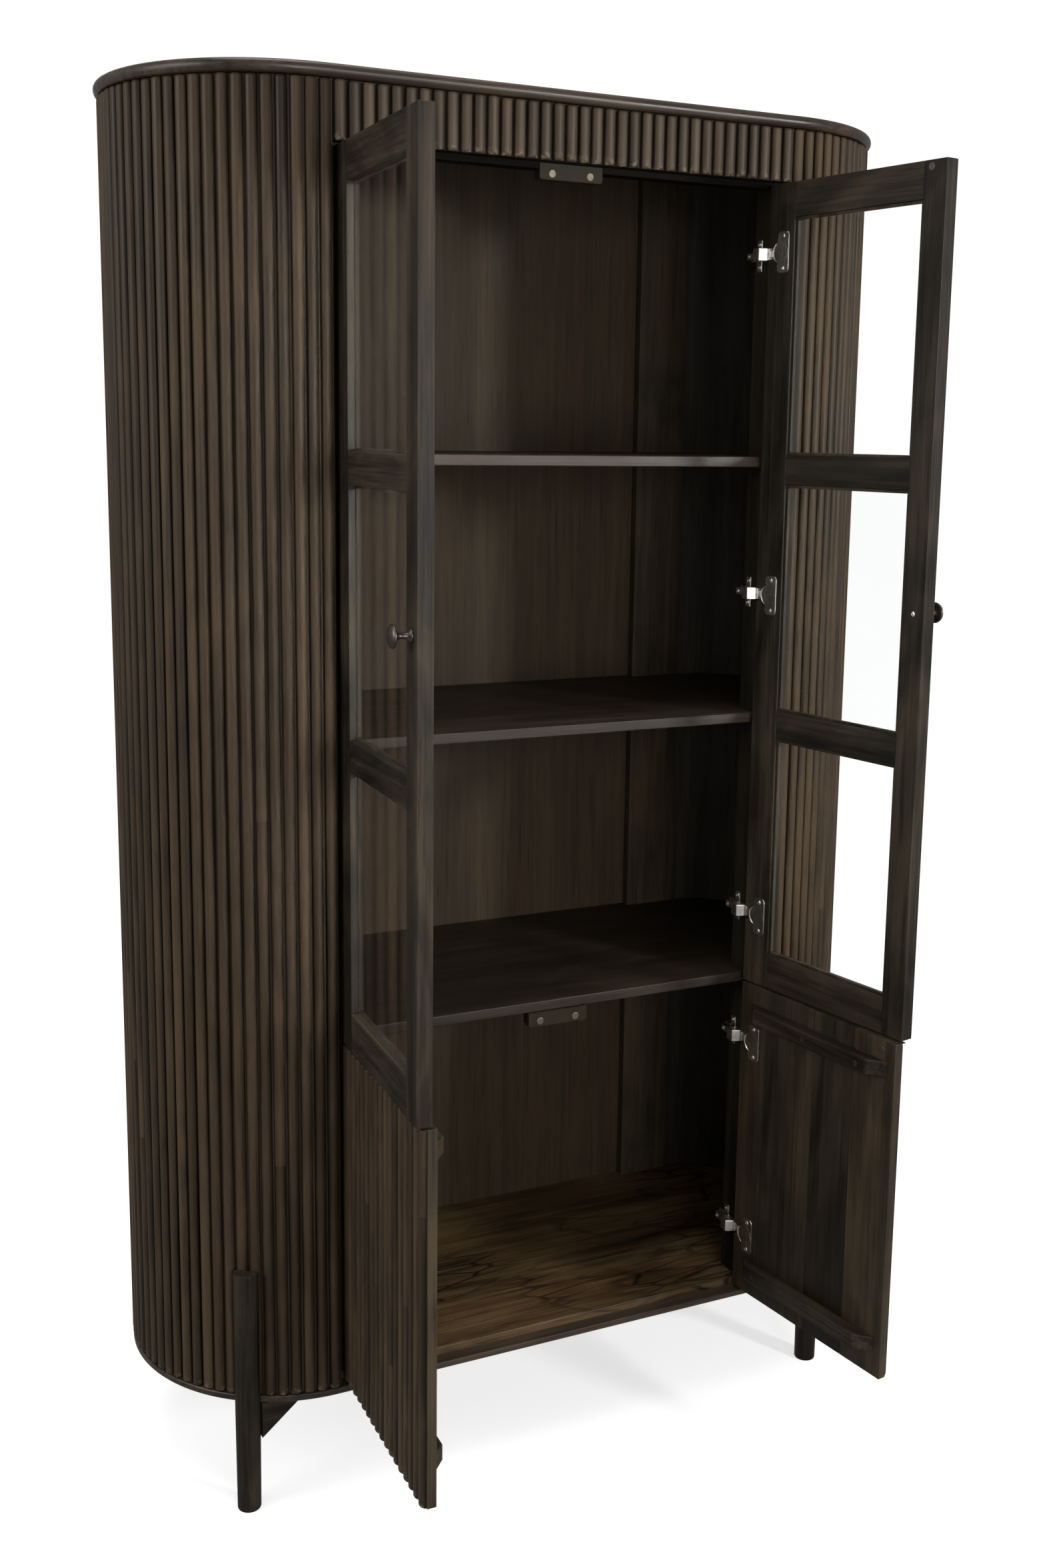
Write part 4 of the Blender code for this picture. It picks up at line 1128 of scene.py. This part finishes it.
studio = {
    "floor": 60.0, "floorColour": (0.50, 0.50, 0.497), "floorGlow": 0.66, "seen": 1.14, "world": 0.30,
    "lens": 37.86, "sensor": 36.0, "yaw": 0.44933, "pitch": 0.16864, "roll": -0.01434,
    "spot": (-1.07914, -2.15840, 1.41752), "shiftX": -0.01555, "shiftY": -0.04433,
}


def makeFloor():
    bm = bmesh.new()
    bmesh.ops.create_grid(bm, x_segments=2, y_segments=2, size=studio["floor"])
    mesh = bpy.data.meshes.new("studioFloor")
    bm.to_mesh(mesh)
    bm.free()
    material, tree, shader = shaderStart("paleFloor")
    speckle = addNode(tree, "ShaderNodeTexNoise", {"Scale": 2.0, "Detail": 3.0})
    pale = studio["floorColour"]
    ramp = colourRamp(tree, speckle.outputs["Fac"], ((0.3, tuple(c * 0.985 for c in pale)), (0.7, pale)))
    tree.links.new(ramp.outputs["Color"], shader.inputs["Base Color"])
    shader.inputs["Roughness"].default_value = 0.9
    shader.inputs["Emission Color"].default_value = (1, 1, 1, 1)
    shader.inputs["Emission Strength"].default_value = studio["floorGlow"]
    mesh.materials.append(material)
    floor = linked("studioFloor", mesh)
    floor.visible_diffuse = False   # its glare stays off the dark wood
    floor.visible_glossy = False


def makeWorld():
    world = bpy.data.worlds.new("studioWorld")
    world.use_nodes = True
    tree = world.node_tree
    back = tree.nodes["Background"]
    back.inputs["Color"].default_value = (1, 1, 1, 1)
    path = addNode(tree, "ShaderNodeLightPath")
    seen = mathNode(tree, "ADD", path.outputs["Is Camera Ray"], path.outputs["Is Transmission Ray"], True)
    strength = mathNode(tree, "MULTIPLY", seen, studio["seen"] - studio["world"])
    tree.links.new(mathNode(tree, "ADD", strength, studio["world"]), back.inputs["Strength"])
    bpy.context.scene.world = world


lamps = {
    "keyLamp": {"spot": (2.0, -3.3, 1.9), "aim": (-0.15, 0.3, 1.1), "size": 0.40, "power": 92},
    "frontLamp": {"spot": (-0.3, -3.7, 1.5), "aim": (0.0, 0.2, 1.05), "size": 1.6, "power": 50},
    "sideLamp": {"spot": (-3.6, -0.4, 2.5), "aim": (-0.5, 0.1, 1.1), "size": 2.0, "power": 64},
    "rearLamp": {"spot": (0.5, 3.2, 3.2), "aim": (0.0, 0.1, 1.0), "size": 2.4, "power": 40},
}
skyLamp = {"power": 1.6, "spread": 40}


def makeLamps():
    for name, look in lamps.items():
        data = bpy.data.lights.new(name, "AREA")
        data.shape = "SQUARE"
        data.size = look["size"]
        data.energy = look["power"]
        lamp = linked(name, data)
        lamp.location = look["spot"]
        aim = Vector(look["aim"]) - Vector(look["spot"])
        lamp.rotation_euler = aim.to_track_quat("-Z", "Y").to_euler()
    spared = bpy.data.collections.new("sparedByKey")   # the key lamp doesn't reach these through the doors
    spared.objects.link(bpy.data.objects["leftEndSlats"])
    bpy.data.objects["keyLamp"].light_linking.receiver_collection = spared
    spared.collection_objects[0].light_linking.link_state = "EXCLUDE"
    data = bpy.data.lights.new("skyLamp", "SUN")
    data.energy = skyLamp["power"]
    data.angle = radians(skyLamp["spread"])
    linked("skyLamp", data)


def makeCamera():
    yaw, pitch, roll = studio["yaw"], studio["pitch"], studio["roll"]
    ahead = Vector((sin(yaw) * cos(pitch), cos(yaw) * cos(pitch), -sin(pitch)))
    level = Vector((cos(yaw), -sin(yaw), 0))
    down = ahead.cross(level)
    right = level * cos(roll) + down * sin(roll)
    down = down * cos(roll) - level * sin(roll)
    data = bpy.data.cameras.new("studioCamera")
    data.sensor_width = studio["sensor"]
    data.lens = studio["lens"]
    data.shift_x = studio["shiftX"]
    data.shift_y = studio["shiftY"]
    data.clip_start = 0.05
    camera = linked("studioCamera", data)
    x, y, z = studio["spot"]
    spot = Vector((x, y + frontY, z + baseLow.z))
    turn = Matrix((right, -down, -ahead)).transposed().to_4x4()
    camera.matrix_world = Matrix.Translation(spot) @ turn
    bpy.context.scene.camera = camera


makeFloor()
makeWorld()
makeLamps()
makeCamera()
bpy.context.scene.view_settings.view_transform = "Standard"
print("studio made")
